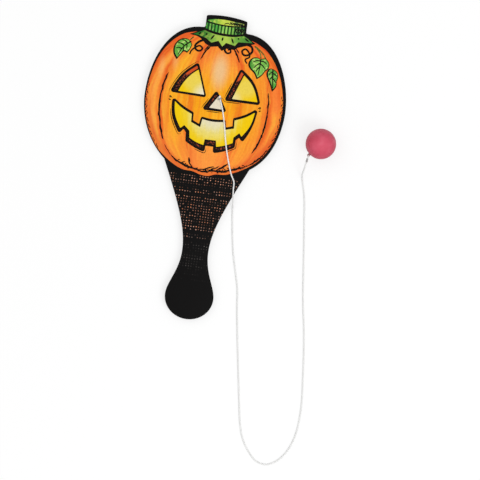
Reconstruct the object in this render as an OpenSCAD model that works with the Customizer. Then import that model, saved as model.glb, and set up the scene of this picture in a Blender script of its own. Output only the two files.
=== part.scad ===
// Paddle ball game: a flat wooden paddle with a printed face, and a rubber ball tied to it by an elastic.
// The paddle lies on its back. +Z is up and out of the printed face, and +Y runs from the grip to the stem.
// The origin is the blade's centre on the board's back.

/* [Board] */
// Thickness of the wooden board
board_t = 5; // [4:0.5:9]
// Width of the blade across its widest line
blade_w = 115; // [95:0.5:150]
// How far the widest line lies below the blade's centre
belly_y = 4; // [0:0.5:8]
// Height of the blade from its widest line to the stem's left foot
blade_rise = 60.2; // [50:0.1:80]
// Depth of the blade from its widest line to the start of the neck
blade_drop = 49.7; // [40:0.1:65]
// How much lower the blade meets the stem on its right than on its left
shoulder_drop = 1; // [-2:0.1:3]

/* [Stem] */
// Width of the stem
stem_w = 33.4; // [20:0.1:50]
// How far the stem stands to the right of the paddle's middle line
stem_shift = 0.8; // [-3:0.1:3]
// Height of the stem's left side above its foot
stem_left_h = 10; // [6:0.1:20]
// Height of the stem's right side above its foot
stem_right_h = 9.7; // [6:0.1:20]
// Rise of the stem's bowed top above the line between its corners
stem_bow = 1.6; // [0:0.1:4]
// Radius of the stem's two top corners
stem_corner = 1.2; // [0.4:0.1:3]
// Radius of the hollow where the stem meets the blade
stem_foot = 1.6; // [0.4:0.1:3]

/* [Handle] */
// Width of the neck where it leaves the blade
neck_w = 69.6; // [55:0.1:85]
// Length of the neck from the blade to the waist
neck_len = 71.3; // [50:0.1:100]
// Width of the handle at its waist
waist_w = 21.2; // [16:0.1:30]
// Length of the swell from the waist to the grip's widest line
swell_len = 37; // [25:0.5:55]
// Width of the grip across its widest line
grip_w = 39.5; // [32:0.1:50]
// Length of the grip's round end below its widest line
grip_end = 18.3; // [12:0.1:30]

/* [Face print] */
// Thickness of the printed paper on the face
print_t = 0.2; // [0.1:0.05:0.6]

/* [Staple] */
// Place of the staple across the face
staple_x = 3.7; // [0:0.1:8]
// Place of the staple along the face
staple_y = 0.1; // [-4:0.1:4]
// Turn of the staple, so that the elastic runs out square to its crown
staple_turn = 20; // [0:1:40]
// Width of the staple over both legs
staple_w = 4.2; // [3.4:0.1:6]
// Diameter of the staple's wire
staple_wire = 0.7; // [0.5:0.05:1]
// Length of the legs below the face, points included
staple_leg = 3.4; // [2:0.1:3.8]
// Length of each leg's point
staple_point = 0.6; // [0.3:0.1:1]
// Radius of the wire's bends, to the middle of the wire
staple_bend = 0.6; // [0.4:0.05:0.8]

/* [Elastic] */
// Diameter of the elastic
cord_d = 1.2; // [0.8:0.1:1.6]
// Length of the stopper knot behind the staple
stopper_len = 2.2; // [1.6:0.1:4]
// Radius of the stopper knot's free end
stopper_tail_r = 0.5; // [0.3:0.05:0.8]
// Length of the knot that closes the tie at the ball
knot_len = 2.8; // [2:0.1:5]
// Radius of the tie knot's face towards the ball
knot_face_r = 1; // [0.95:0.05:1.6]
// How far a knot swells past its ends
knot_bulge = 0.35; // [0.1:0.05:0.8]
// Diameter of the elastic where it is drawn thin through the ball's eye
loop_d = 0.9; // [0.6:0.05:1]
// Length of the loop from the eye to the tie knot
loop_len = 2.8; // [2.6:0.1:6]
// Half the gap between the loop's strands where they enter the knot
loop_in = 0.5; // [0.4:0.05:0.55]
// Direction in which the elastic leaves the ball's eye
tie_turn = 259; // [235:1:285]

/* [Ball] */
// Diameter of the rubber ball
ball_d = 24.6; // [20:0.1:32]
// Place of the ball across the surface that the paddle lies on
ball_x = 89.2; // [86:0.1:100]
// Place of the ball along that surface
ball_y = -25.5; // [-30:0.1:-20]
// Direction of the ball's eye from its centre
nub_turn = 230; // [215:1:245]
// Diameter of the short neck that carries the eye
nub_neck_d = 1.8; // [1.2:0.1:2.2]
// Diameter of the round eye
nub_d = 2.4; // [2:0.1:2.8]
// Height of the eye's centre above the ball's skin
nub_reach = 1; // [0.8:0.1:2]

/* [Hidden] */
$fn = 48;

// Free space between the elastic and what it lies on or passes under
cord_clear = 0.05;
// Free space round the staple's legs in the board
leg_fit = 0.02;
// Free space round the drawn elastic in the ball's eye
eye_fit = 0.08;
// Free space between the eye and the loop's outer ends
loop_gap = 0.55;
// Free space at each end of the tie knot, where the pieces turn and part
tie_gap = 0.15;
// How far a cut runs past the solid that it cuts
overrun = 1;
// Steps along each curve of the outline
curve_steps = 20;
// Steps along each small corner of the outline
corner_steps = 4;
// Steps along a knot's profile
knot_steps = 10;
// Sides of the elastic's tube, and rings for each stretch between two points of its route
cord_sides = 8;
stretch_rings = 2;

// Handles of each outline curve as shares of its span across and along, first at its start and then at its end
crown_right_shares = [[0, 0.4], [0.69, 0]];
crown_left_shares = [[0, 0.5], [0.66, 0]];
belly_right_shares = [[0, 0.26], [0.82, 0.24]];
belly_left_shares = [[0, 0.09], [0.98, 0.38]];
neck_shares = [[0.676, 0.49], [0, 0.25]];
swell_shares = [[0, 0.465], [0, 0.265]];

face_z = board_t + print_t;
left_foot_y = blade_rise - belly_y;
right_foot_y = left_foot_y - shoulder_drop;
neck_y = -belly_y - blade_drop;
waist_y = neck_y - neck_len;
grip_y = waist_y - swell_len;
stem_left = stem_shift - stem_w / 2;
stem_right = stem_shift + stem_w / 2;
cord_r = cord_d / 2;
cord_low_z = cord_r + cord_clear;
cord_face_z = face_z + cord_low_z;
crown_z = face_z + cord_d + 2 * cord_clear + staple_wire / 2;
leg_x = (staple_w - staple_wire) / 2;
stopper_y = staple_wire / 2 + cord_clear;
knot_cord_r = cord_r + cord_clear;
ball_at = [ball_x, ball_y, ball_d / 2];
eye_r = ball_d / 2 + nub_reach;
eye_at = ball_at + eye_r * [cos(nub_turn), sin(nub_turn), 0];
tie_way = [cos(tie_turn), sin(tie_turn), 0];
eye_hole_d = loop_d + 2 * eye_fit;
loop_half = nub_d / 2 + loop_gap + loop_d / 2;
knot_x = loop_len + tie_gap;
cord_end = eye_at + (knot_x + knot_len + tie_gap) * tie_way;
cord_start = [staple_x, staple_y, cord_face_z] + stopper_y * [-sin(staple_turn), cos(staple_turn), 0];

// Route of the elastic, as it lies on the face
face_route = [[7, -9], [9.5, -18.5], [13, -35], [17.3, -50], [21, -60], [23.6, -65], [24, -71]];
// Its drop over the handle's edge, with its height as a share of the face's height
drop_route = [[24.5, -77, 1], [24.9, -81, 0.7], [25.4, -87, 0.1]];
// Its run on the surface that the paddle lies on: down, round the turn and up to the ball
table_route = [
    [27, -100], [30.6, -122], [34, -135.5], [38, -151.5], [39.4, -164], [42.5, -185.5], [47, -214], [52, -244.5],
    [54.6, -259], [58, -270], [64.5, -280.5], [72, -287.5], [79, -289], [86.5, -286], [93, -279.5], [98, -270],
    [101, -258], [102, -244], [100, -213], [96.5, -181], [92, -153], [88, -119], [84.5, -90], [81.3, -67]
];
// Its rise to the tie, with its height as a share of the eye's height
rise_route = [[78.3, -55.6, 0], [77.7, -52, 0.25], [78.3, -48.5, 0.6], [79, -45, 0.92]];

route = concat(
    [cord_start],
    [for (p = face_route) [p.x, p.y, cord_face_z]],
    [for (p = drop_route) [p.x, p.y, cord_low_z + p.z * (cord_face_z - cord_low_z)]],
    [for (p = table_route) [p.x, p.y, cord_low_z]],
    [for (p = rise_route) [p.x, p.y, cord_low_z + p.z * (eye_at.z - cord_low_z)]],
    [cord_end]
);
last = len(route) - 1;

// Point at t from 0 to 1 on a cubic curve from p to q, with its handles as shares of the span
function cubic_point(p, q, shares, t) =
    let (
        d = q - p,
        c = p + [shares[0].x * d.x, shares[0].y * d.y],
        e = q - [shares[1].x * d.x, shares[1].y * d.y],
        u = 1 - t
    )
    u * u * u * p + 3 * u * u * t * c + 3 * u * t * t * e + t * t * t * q;

// Points on that curve, without its last one
function cubic(p, q, shares) =
    [for (i = [0:curve_steps - 1]) cubic_point(p, q, shares, i / curve_steps)];

// Points on a small corner from p to q that bends at c, both ends included
function corner(p, c, q) =
    [for (i = [0:corner_steps]) let (t = i / corner_steps) (1 - t) * (1 - t) * p + 2 * t * (1 - t) * c + t * t * q];

// One side of the paddle from the grip's end up to its shoulder: way is 1 on the right and -1 on the left
function side(way, shoulder, crown_shares, belly_shares) =
    let (
        grip = [way * grip_w / 2, grip_y],
        waist = [way * waist_w / 2, waist_y],
        neck = [way * neck_w / 2, neck_y],
        belly = [way * blade_w / 2, -belly_y]
    )
    concat(
        [for (i = [1:curve_steps - 1])
            let (a = 90 * i / curve_steps) [grip.x * sin(a), grip_y - grip_end * cos(a)]],
        cubic(grip, waist, [swell_shares[1], swell_shares[0]]),
        cubic(waist, neck, [neck_shares[1], neck_shares[0]]),
        cubic(neck, belly, [belly_shares[1], belly_shares[0]]),
        cubic(belly, shoulder, crown_shares)
    );

// The stem from its right foot, over its bowed top, to its left foot
function stem_line() =
    let (
        right_top = [stem_right, right_foot_y + stem_right_h],
        left_top = [stem_left, left_foot_y + stem_left_h],
        top = left_top - right_top,
        along = stem_corner / stem_w
    )
    concat(
        corner(
            [stem_right + stem_foot, right_foot_y], [stem_right, right_foot_y],
            [stem_right, right_foot_y + stem_foot]
        ),
        corner(right_top - [0, stem_corner], right_top, bow_point(right_top, top, along)),
        [for (i = [1:curve_steps - 1])
            bow_point(right_top, top, along + (1 - 2 * along) * i / curve_steps)],
        corner(bow_point(right_top, top, 1 - along), left_top, left_top - [0, stem_corner]),
        corner(
            [stem_left, left_foot_y + stem_foot], [stem_left, left_foot_y],
            [stem_left - stem_foot, left_foot_y]
        )
    );

// Point at s from 0 to 1 on the stem's bowed top
function bow_point(start, way, s) = start + s * way + [0, stem_bow * 4 * s * (1 - s)];

// The whole outline, once round from the grip's end
function outline() =
    let (
        right = side(1, [stem_right + stem_foot, right_foot_y], crown_right_shares, belly_right_shares),
        left = side(-1, [stem_left - stem_foot, left_foot_y], crown_left_shares, belly_left_shares)
    )
    concat(
        [[0, grip_y - grip_end]],
        right,
        stem_line(),
        [for (i = [len(left) - 1:-1:0]) left[i]]
    );

// Direction of the route at point i, as a step for each unit of its length
function route_way(i) =
    i == 0 ? (route[1] - route[0]) / norm(route[1] - route[0]) :
    i == last ? (route[last] - route[last - 1]) / norm(route[last] - route[last - 1]) :
    let (
        a = route[i] - route[i - 1],
        b = route[i + 1] - route[i],
        la = norm(a),
        lb = norm(b)
    )
    (b * la / lb + a * lb / la) / (la + lb);

// Point at t from 0 to 1 on the stretch after point i, never below the surface
function stretch_point(i, t) =
    let (
        span = norm(route[i + 1] - route[i]),
        p = (2 * t * t * t - 3 * t * t + 1) * route[i]
            + (t * t * t - 2 * t * t + t) * span * route_way(i)
            + (3 * t * t - 2 * t * t * t) * route[i + 1]
            + (t * t * t - t * t) * span * route_way(i + 1)
    )
    [p.x, p.y, max(p.z, cord_low_z)];

// The middle line of the elastic, with a point for each ring of its tube
function cord_line() = concat(
    [for (i = [0:last - 1]) for (j = [0:stretch_rings - 1]) stretch_point(i, j / stretch_rings)],
    [route[last]]
);

// A round tube of radius r along the points of line, as one closed solid
module tube(line, r, sides) {
    n = len(line);
    ways = [for (i = [0:n - 1])
        i == 0 ? route_way(0) : i == n - 1 ? route_way(last) : line[i + 1] - line[i - 1]];
    rings = [for (i = [0:n - 1])
        let (
            t = ways[i] / norm(ways[i]),
            a = cross([0, 0, 1], t),
            x = a / norm(a),
            y = cross(t, x)
        )
        for (k = [0:sides - 1]) line[i] + r * (cos(360 * k / sides) * x + sin(360 * k / sides) * y)];
    walls = [for (i = [0:n - 2]) for (k = [0:sides - 1])
        let (a = i * sides + k, b = i * sides + (k + 1) % sides)
        for (f = [[a, a + sides, b], [b, a + sides, b + sides]]) f];
    ends = [for (k = [1:sides - 2])
        for (f = [[0, k, k + 1], [(n - 1) * sides, (n - 1) * sides + k + 1, (n - 1) * sides + k]]) f];
    polyhedron(points = rings, faces = concat(walls, ends));
}

// A round knot along +X from x = 0, with an end radius at each end and a swell between them
module knot(length, start_r, end_r) {
    rotate([0, 90, 0])
        rotate_extrude()
            polygon(concat(
                [[0, 0]],
                [for (i = [0:knot_steps])
                    let (s = i / knot_steps)
                    [start_r + (end_r - start_r) * s + knot_bulge * sin(180 * s), length * s]],
                [[0, length]]
            ));
}

// Places its children at the staple, with the elastic running out along -Y
module at_staple() {
    translate([staple_x, staple_y, 0]) rotate(staple_turn) children();
}

// Places its children at the ball's eye, with the elastic running out along +X
module at_eye() {
    translate(eye_at) rotate(tie_turn) children();
}

// The holes that the staple's legs make, from just above the face down past their points
module leg_holes() {
    at_staple()
        for (x = [-leg_x, leg_x])
            translate([x, 0, face_z - staple_leg - leg_fit])
                cylinder(h = staple_leg + leg_fit + overrun, d = staple_wire + 2 * leg_fit);
}

// One leg of the staple with its bend, on the right-hand side
module staple_side() {
    translate([leg_x, 0, face_z - staple_leg])
        cylinder(h = staple_point, d1 = 0, d2 = staple_wire);
    translate([leg_x, 0, face_z - staple_leg + staple_point])
        cylinder(h = crown_z - staple_bend - face_z + staple_leg - staple_point, d = staple_wire);
    translate([leg_x - staple_bend, 0, crown_z - staple_bend])
        rotate([90, 0, 0])
            rotate_extrude(angle = 90)
                translate([staple_bend, 0]) circle(d = staple_wire);
}

// One strand of the loop from the eye to the tie knot: way is 1 above and -1 below
module loop_strand(way) {
    drop = loop_half - loop_in;
    translate([0, 0, way * loop_half]) {
        sphere(d = loop_d);
        rotate([0, 90 + way * atan2(drop, loop_len), 0])
            cylinder(h = norm([drop, loop_len]) + loop_d, d = loop_d);
    }
}

module paddle_board() {
    color("#231d1a")
        difference() {
            linear_extrude(board_t) polygon(outline());
            leg_holes();
        }
}

module face_print() {
    color("#f98b32")
        difference() {
            translate([0, 0, board_t]) linear_extrude(print_t) polygon(outline());
            leg_holes();
        }
}

module staple() {
    color("#b9bcc0")
        at_staple() {
            staple_side();
            mirror([1, 0, 0]) staple_side();
            translate([-leg_x + staple_bend, 0, crown_z])
                rotate([0, 90, 0]) cylinder(h = 2 * (leg_x - staple_bend), d = staple_wire);
        }
}

module stopper_knot() {
    color("#e9e7e3")
        difference() {
            at_staple()
                translate([0, stopper_y, cord_face_z])
                    rotate(90) knot(stopper_len, knot_cord_r, stopper_tail_r);
            translate([staple_x - stopper_len - staple_w, staple_y - stopper_len - staple_w, 0])
                cube([2 * (stopper_len + staple_w), 2 * (stopper_len + staple_w), face_z]);
        }
}

module elastic_cord() {
    color("#f1efeb") tube(cord_line(), cord_r, cord_sides);
}

module tie_knot() {
    color("#cfcdc9") at_eye() translate([knot_x, 0, 0]) knot(knot_len, knot_face_r, knot_cord_r);
}

module tie_loop() {
    color("#e9e7e3")
        at_eye()
            difference() {
                union() {
                    translate([0, 0, -loop_half]) cylinder(h = 2 * loop_half, d = loop_d);
                    loop_strand(1);
                    loop_strand(-1);
                }
                translate([loop_len, -nub_d, -2 * loop_half]) cube([loop_len, 2 * nub_d, 4 * loop_half]);
            }
}

module ball() {
    color("#d4546a")
        difference() {
            union() {
                translate(ball_at) {
                    sphere(d = ball_d);
                    rotate([0, 90, nub_turn]) cylinder(h = eye_r, d = nub_neck_d);
                }
                translate(eye_at) sphere(d = nub_d);
            }
            translate(eye_at - [0, 0, nub_d]) cylinder(h = 2 * nub_d, d = eye_hole_d);
        }
}

paddle_board();
face_print();
staple();
stopper_knot();
elastic_cord();
tie_knot();
tie_loop();
ball();
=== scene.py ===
"""Dresses the paddle ball game for looks: a printed wooden paddle, and a rubber ball on a long elastic."""

import logging
import math
from dataclasses import dataclass
from enum import Enum
from typing import Any, Callable, Sequence

import bpy
import numpy as np
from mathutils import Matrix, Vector


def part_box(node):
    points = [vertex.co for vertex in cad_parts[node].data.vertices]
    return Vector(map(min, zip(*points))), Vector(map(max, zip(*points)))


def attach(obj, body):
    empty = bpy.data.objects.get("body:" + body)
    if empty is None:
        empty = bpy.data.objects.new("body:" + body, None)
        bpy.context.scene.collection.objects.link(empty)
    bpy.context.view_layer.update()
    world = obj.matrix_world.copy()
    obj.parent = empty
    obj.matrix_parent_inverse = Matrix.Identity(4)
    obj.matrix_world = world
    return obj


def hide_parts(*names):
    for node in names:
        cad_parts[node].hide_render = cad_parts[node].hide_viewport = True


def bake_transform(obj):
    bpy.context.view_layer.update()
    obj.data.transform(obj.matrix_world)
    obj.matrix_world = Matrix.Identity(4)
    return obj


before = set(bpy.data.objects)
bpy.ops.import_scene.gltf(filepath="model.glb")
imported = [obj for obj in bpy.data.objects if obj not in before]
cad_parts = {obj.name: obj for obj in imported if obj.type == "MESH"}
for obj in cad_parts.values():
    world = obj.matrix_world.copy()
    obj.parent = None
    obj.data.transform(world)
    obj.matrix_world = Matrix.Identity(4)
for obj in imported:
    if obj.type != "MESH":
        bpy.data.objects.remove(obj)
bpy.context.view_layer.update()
LOG = logging.getLogger("paddle_ball")
MM = 0.001
MERGE = 1e-7
LEVEL = 1e-6
ENDLESS = 1e6
WRAP = "wrap"
SMOOTH = {"interpolation_type": "SMOOTHSTEP"}

Object = bpy.types.Object
Tree = bpy.types.NodeTree
Node = bpy.types.Node
Socket = bpy.types.NodeSocket
Pair = tuple[float, float]
Stop = tuple[float, str]
Run = Sequence[tuple[Vector, float]]


# Points and lines that are drawn on the face, in millimetres

CORNER_SIDE = 0.45
CORNER_SHARES = (0.15, 0.3, 0.5, 0.7, 0.85)
INNER_CORNER = 3
BRUSH_END = 0.2
BRUSH_SWELL = 0.7
TAIL_LOSS = 0.4
ROUND_END = 0.55
LUCK_STEP = 12.9898
SPREAD_STEP = 4.1414
LOOSE_STEP = 4
LOOSE_REACH = 6
LOOSE_WIDTH = 0.6
LOOSE_SHIFTS = (0.5, 0.9)
PEN_STEP = 0.5
PEN_CORNER = 0.5
PEN_SIDES = 4
PEN_SMOOTH = 60


@dataclass(frozen=True)
class Mark:
    """A point of a drawn line: the line bends smoothly at it, or turns sharply."""

    x: float
    y: float
    sharp: bool = False

    @property
    def at(self) -> Vector:
        """The point itself."""
        return Vector((self.x, self.y))


def soft(*pairs: Pair) -> list[Mark]:
    """Marks at which a line bends smoothly."""
    return [Mark(x, y) for x, y in pairs]


def sharp(*pairs: Pair) -> list[Mark]:
    """Marks at which a line turns sharply."""
    return [Mark(x, y, True) for x, y in pairs]


def chord_way(before: Vector, here: Vector, after: Vector) -> Vector:
    """Direction of a smooth line at a point between two others.

    Args:
        before: The point before it.
        here: The point itself.
        after: The point after it.

    Returns:
        The step for each unit of the line's length.
    """
    a = here - before
    b = after - here
    return (b * (a.length / b.length) + a * (b.length / a.length)) / (a.length + b.length)


def hermite(p: Vector, q: Vector, way_p: Vector, way_q: Vector, t: float) -> Vector:
    """Point on a smooth stretch between two points.

    Args:
        p: Where the stretch starts.
        q: Where it ends.
        way_p: The line's direction at p.
        way_q: The line's direction at q.
        t: Share of the way, from 0 to 1.

    Returns:
        The point at that share.
    """
    span = (q - p).length
    return (
        (2 * t**3 - 3 * t**2 + 1) * p
        + (t**3 - 2 * t**2 + t) * span * way_p
        + (3 * t**2 - 2 * t**3) * q
        + (t**3 - t**2) * span * way_q
    )


def stretch_ways(marks: Sequence[Mark], closed: bool) -> list[tuple[Vector, Vector]]:
    """Directions at both ends of each stretch between two marks.

    Args:
        marks: The marks in order.
        closed: Whether the line runs back to its first mark.

    Returns:
        A pair of directions for each stretch.
    """
    count = len(marks)
    free = [not m.sharp and (closed or 0 < i < count - 1) for i, m in enumerate(marks)]
    ways = []
    for i in range(count if closed else count - 1):
        j = (i + 1) % count
        p, q = marks[i].at, marks[j].at
        along = (q - p).normalized()
        start = chord_way(marks[i - 1].at, p, q) if free[i] else None
        end = chord_way(p, q, marks[(j + 1) % count].at) if free[j] else None
        if start is None:
            start = along if end is None else 1.5 * along - 0.5 * end
        if end is None:
            end = 1.5 * along - 0.5 * start
        ways.append((start, end))
    return ways


def rounding(before: Vector, here: Vector, after: Vector, radius: float) -> Pair:
    """How a corner is rounded.

    Args:
        before: The point before the corner.
        here: The corner.
        after: The point after it.
        radius: Radius of the rounding.

    Returns:
        The distance along either side at which the arc starts, and the corner's pull on the arc.
    """
    a, b = before - here, after - here
    half = a.angle(b) / 2
    most = CORNER_SIDE * min(a.length, b.length)
    return min(radius / math.tan(half), most), math.sin(half)


def winding(marks: Sequence[Mark]) -> int:
    """1 where a closed line runs anticlockwise, and -1 where it runs clockwise."""
    area = sum(marks[i - 1].x * m.y - m.x * marks[i - 1].y for i, m in enumerate(marks))
    return 1 if area > 0 else -1


def drawn(marks: Sequence[Mark], closed: bool = True, corner: float = 0.0, step: float = 0.7) -> list[Vector]:
    """Follows a line through its marks.

    Args:
        marks: The marks in order.
        closed: Whether the line runs back to its first mark.
        corner: Radius of an outer corner of a closed line, in millimetres. An inner one takes a third of it.
        step: Distance between the points, in millimetres.

    Returns:
        Points along the line.
    """
    count = len(marks)
    ways = stretch_ways(marks, closed)
    cuts, pulls = [0.0] * count, [0.0] * count
    if closed and corner:
        for i, m in enumerate(marks):
            if m.sharp:
                before, after = marks[i - 1].at, marks[(i + 1) % count].at
                outer = winding(marks) * (m.at - before).cross(after - m.at) > 0
                cuts[i], pulls[i] = rounding(before, m.at, after, corner if outer else corner / INNER_CORNER)
    points: list[Vector] = []
    for i, (start, end) in enumerate(ways):
        j = (i + 1) % count
        p, q = marks[i].at, marks[j].at
        length = (q - p).length
        first, last = cuts[i] / length, 1 - cuts[j] / length
        steps = max(1, round(length * (last - first) / step))
        for k in range(steps + (1 if cuts[j] else 0)):
            points.append(hermite(p, q, start, end, first + (last - first) * k / steps))
        if cuts[j]:
            after = marks[(j + 1) % count].at
            leave = hermite(q, after, *ways[j], cuts[j] / (after - q).length)
            reach = points[-1]
            for t in CORNER_SHARES:
                a, b, c = (1 - t) ** 2, 2 * t * (1 - t) * pulls[j], t**2
                points.append((a * reach + b * q + c * leave) / (a + b + c))
    if not closed:
        points.append(marks[-1].at)
    return points


def inset(marks: Sequence[Mark], by: float) -> list[Mark]:
    """Moves every side of a closed line inwards by the same distance.

    Args:
        marks: The marks in order.
        by: The distance, in millimetres.

    Returns:
        The marks of the smaller line.
    """
    count = len(marks)
    turn = winding(marks)
    moved = []
    for i, m in enumerate(marks):
        a = (m.at - marks[i - 1].at).normalized()
        b = (marks[(i + 1) % count].at - m.at).normalized()
        na = turn * Vector((-a.y, a.x))
        nb = turn * Vector((-b.y, b.x))
        spot = m.at + (na + nb) * (by / (1 + na.dot(nb)))
        moved.append(Mark(spot.x, spot.y, m.sharp))
    return moved


class Tip(Enum):
    """How a stroke of ink ends."""

    ROUND = "round"
    BRUSH = "brush"
    TAIL = "tail"


@dataclass(frozen=True)
class Stroke:
    """A stroke of ink along a line, with its width in millimetres."""

    marks: Sequence[Mark]
    width: float
    tip: Tip = Tip.ROUND
    closed: bool = False

    def swell(self, share: float) -> float:
        """Width of the stroke along its length.

        Args:
            share: Share of the length, from 0 to 1.

        Returns:
            The width there as a share of the full width.
        """
        if self.closed:
            return 1.0
        if self.tip is Tip.BRUSH:
            return BRUSH_END + (1 - BRUSH_END) * math.sin(math.pi * share) ** BRUSH_SWELL
        if self.tip is Tip.TAIL:
            return 1.0 - TAIL_LOSS * share
        return ROUND_END if share in (0.0, 1.0) else 1.0


def uneven(first: float, second: float) -> Pair:
    """Two shares from -1 to 1 that follow no plain rule, for strokes that are drawn loosely."""
    return math.sin(LUCK_STEP * first), math.cos(SPREAD_STEP * second)


def sketched(pairs: Sequence[Pair], width: float) -> list[Stroke]:
    """A pen line that is gone over with short loose strokes.

    Args:
        pairs: Points of the line, in millimetres.
        width: Its greatest width, in millimetres.

    Returns:
        The line's own stroke and the loose ones.
    """
    strokes = [Stroke(soft(*pairs), width, Tip.BRUSH)]
    line = drawn(soft(*pairs), closed=False)
    for i in range(0, len(line) - LOOSE_REACH, LOOSE_STEP):
        p, q = line[i], line[i + LOOSE_REACH]
        across = Vector((p.y - q.y, q.x - p.x)).normalized()
        luck, spread = uneven(i + line[0].x, i + line[0].y)
        p = p + across * LOOSE_SHIFTS[0] * luck
        q = q + across * LOOSE_SHIFTS[1] * spread
        strokes.append(Stroke(soft(tuple(p), tuple(q)), LOOSE_WIDTH * width, Tip.BRUSH))
    return strokes


# Modelling, as by hand


class Bench:
    """The modelling steps that every piece shares. Each works on one object at a time."""

    flat_angle = math.radians(0.5)
    upright_z = 0.5

    @staticmethod
    def pick(*objs: Object) -> Object:
        """Selects only these objects and makes the first one active.

        Args:
            *objs: The objects.

        Returns:
            The first of them.
        """
        if bpy.context.object and bpy.context.object.mode != "OBJECT":
            bpy.ops.object.mode_set(mode="OBJECT")
        bpy.ops.object.select_all(action="DESELECT")
        for obj in objs:
            obj.select_set(True)
        bpy.context.view_layer.objects.active = objs[0]
        return objs[0]

    @staticmethod
    def edit(obj: Object, mode: str = "VERT") -> None:
        """Opens one object in edit mode with all of it selected.

        Args:
            obj: The object.
            mode: Whether its points, edges or faces are picked.
        """
        Bench.pick(obj)
        bpy.ops.object.mode_set(mode="EDIT")
        bpy.ops.mesh.select_mode(type=mode)
        bpy.ops.mesh.select_all(action="SELECT")

    @staticmethod
    def close() -> None:
        """Goes back to object mode."""
        bpy.ops.object.mode_set(mode="OBJECT")

    @staticmethod
    def tidy(obj: Object) -> None:
        """Merges doubled points and turns every face outwards.

        Args:
            obj: The object.
        """
        Bench.edit(obj)
        bpy.ops.mesh.remove_doubles(threshold=MERGE)
        bpy.ops.mesh.normals_make_consistent(inside=False)
        Bench.close()

    @staticmethod
    def settle(obj: Object) -> None:
        """Puts an object's place, turn and scale into its mesh."""
        Bench.pick(obj)
        bpy.ops.object.transform_apply(location=True, rotation=True, scale=True)

    @staticmethod
    def smooth(obj: Object, degrees: float) -> None:
        """Shades an object smoothly apart from edges sharper than an angle."""
        Bench.pick(obj)
        bpy.ops.object.shade_smooth_by_angle(angle=math.radians(degrees))

    @staticmethod
    def join(name: str, objs: Sequence[Object]) -> Object:
        """Makes one named piece of several.

        Args:
            name: The piece's name.
            objs: The objects that it is made of.

        Returns:
            The piece.
        """
        whole = Bench.pick(*objs)
        if len(objs) > 1:
            bpy.ops.object.join()
        whole.name = name
        whole.data.name = name
        return whole

    @staticmethod
    def copy_of(node: str, name: str) -> Object:
        """A free copy of a CAD node's mesh, with its loose triangles merged and its flat faces whole.

        Args:
            node: The CAD node's name.
            name: The new piece's name.

        Returns:
            The new object, which rides on nothing yet.
        """
        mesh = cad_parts[node].data.copy()
        mesh.materials.clear()
        obj = bpy.data.objects.new(name, mesh)
        bpy.context.scene.collection.objects.link(obj)
        Bench.edit(obj)
        bpy.ops.mesh.customdata_custom_splitnormals_clear()
        bpy.ops.mesh.remove_doubles(threshold=MERGE)
        bpy.ops.mesh.dissolve_limited(angle_limit=Bench.flat_angle)
        Bench.close()
        return obj

    @staticmethod
    def mark_edges(obj: Object, wanted: Callable[[bpy.types.MeshEdge], bool]) -> None:
        """Selects some edges of an object, which is left in edit mode.

        Args:
            obj: The object.
            wanted: Tells whether an edge is one of them.
        """
        Bench.edit(obj, "EDGE")
        bpy.ops.mesh.select_all(action="DESELECT")
        Bench.close()
        for edge in obj.data.edges:
            edge.select = wanted(edge)
        bpy.ops.object.mode_set(mode="EDIT")

    @staticmethod
    def select_edges(obj: Object, height: float, least_reach: float) -> None:
        """Selects the edges of a flat board's rim, with the object left in edit mode.

        Args:
            obj: The board.
            height: Height of the rim, in metres.
            least_reach: Distance from the origin under which edges are left out, in metres.
        """
        mesh = obj.data
        upright = set()
        for face in mesh.polygons:
            if abs(face.normal.z) < Bench.upright_z:
                upright.update(face.edge_keys)

        def on_rim(edge: bpy.types.MeshEdge) -> bool:
            """Tells the rim's edges from the others.

            Args:
                edge: The edge.

            Returns:
                Whether it lies level on the outer rim.
            """
            ends = [mesh.vertices[v].co for v in edge.vertices]
            flat = all(abs(co.z - height) < LEVEL for co in ends)
            return flat and edge.key in upright and min(co.xy.length for co in ends) > least_reach

        Bench.mark_edges(obj, on_rim)

    @staticmethod
    def slab(name: str, outlines: Sequence[Sequence[Vector]], low: float, high: float) -> Object:
        """Thin flat solids with drawn outlines, as one piece.

        Args:
            name: The piece's name.
            outlines: Closed lines of points, in millimetres.
            low: Height of the underside, in millimetres.
            high: Height of the top, in millimetres.

        Returns:
            The new piece.
        """
        plates = []
        for line in outlines:
            bpy.ops.object.select_all(action="DESELECT")
            bpy.ops.mesh.primitive_circle_add(vertices=len(line), radius=MM, fill_type="NGON")
            plate = bpy.context.object
            places = [(p.x * MM, p.y * MM, low * MM) for p in line]
            plate.data.vertices.foreach_set("co", np.array(places, np.float32).ravel())
            Bench.edit(plate, "FACE")
            bpy.ops.mesh.extrude_region_move(TRANSFORM_OT_translate={"value": (0, 0, (high - low) * MM)})
            bpy.ops.mesh.select_all(action="SELECT")
            bpy.ops.mesh.normals_make_consistent(inside=False)
            Bench.close()
            plates.append(plate)
        return Bench.join(name, plates)

    @staticmethod
    def tube(name: str, runs: Sequence[Run], closed: bool, half_turn: int) -> Object:
        """Round tubes along lines of points, as one piece.

        Args:
            name: The piece's name.
            runs: For each tube its points, each with the tube's radius there.
            closed: Whether each tube runs back to its first point.
            half_turn: Sides round half of the tube.

        Returns:
            The new piece, in the units of the points.
        """
        bpy.ops.object.select_all(action="DESELECT")
        bpy.ops.curve.primitive_bezier_curve_add()
        obj = bpy.context.object
        curve = obj.data
        curve.splines.clear()
        curve.dimensions = "3D"
        curve.bevel_depth = 1.0
        curve.bevel_resolution = half_turn - 2
        curve.use_fill_caps = True
        for run in runs:
            spline = curve.splines.new("POLY")
            spline.points.add(len(run) - 1)
            for point, (place, radius) in zip(spline.points, run):
                point.co = (*place, 1.0)
                point.radius = radius
            spline.use_cyclic_u = closed
        Bench.pick(obj)
        bpy.ops.object.convert(target="MESH")
        return Bench.join(name, [bpy.context.object])

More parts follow.
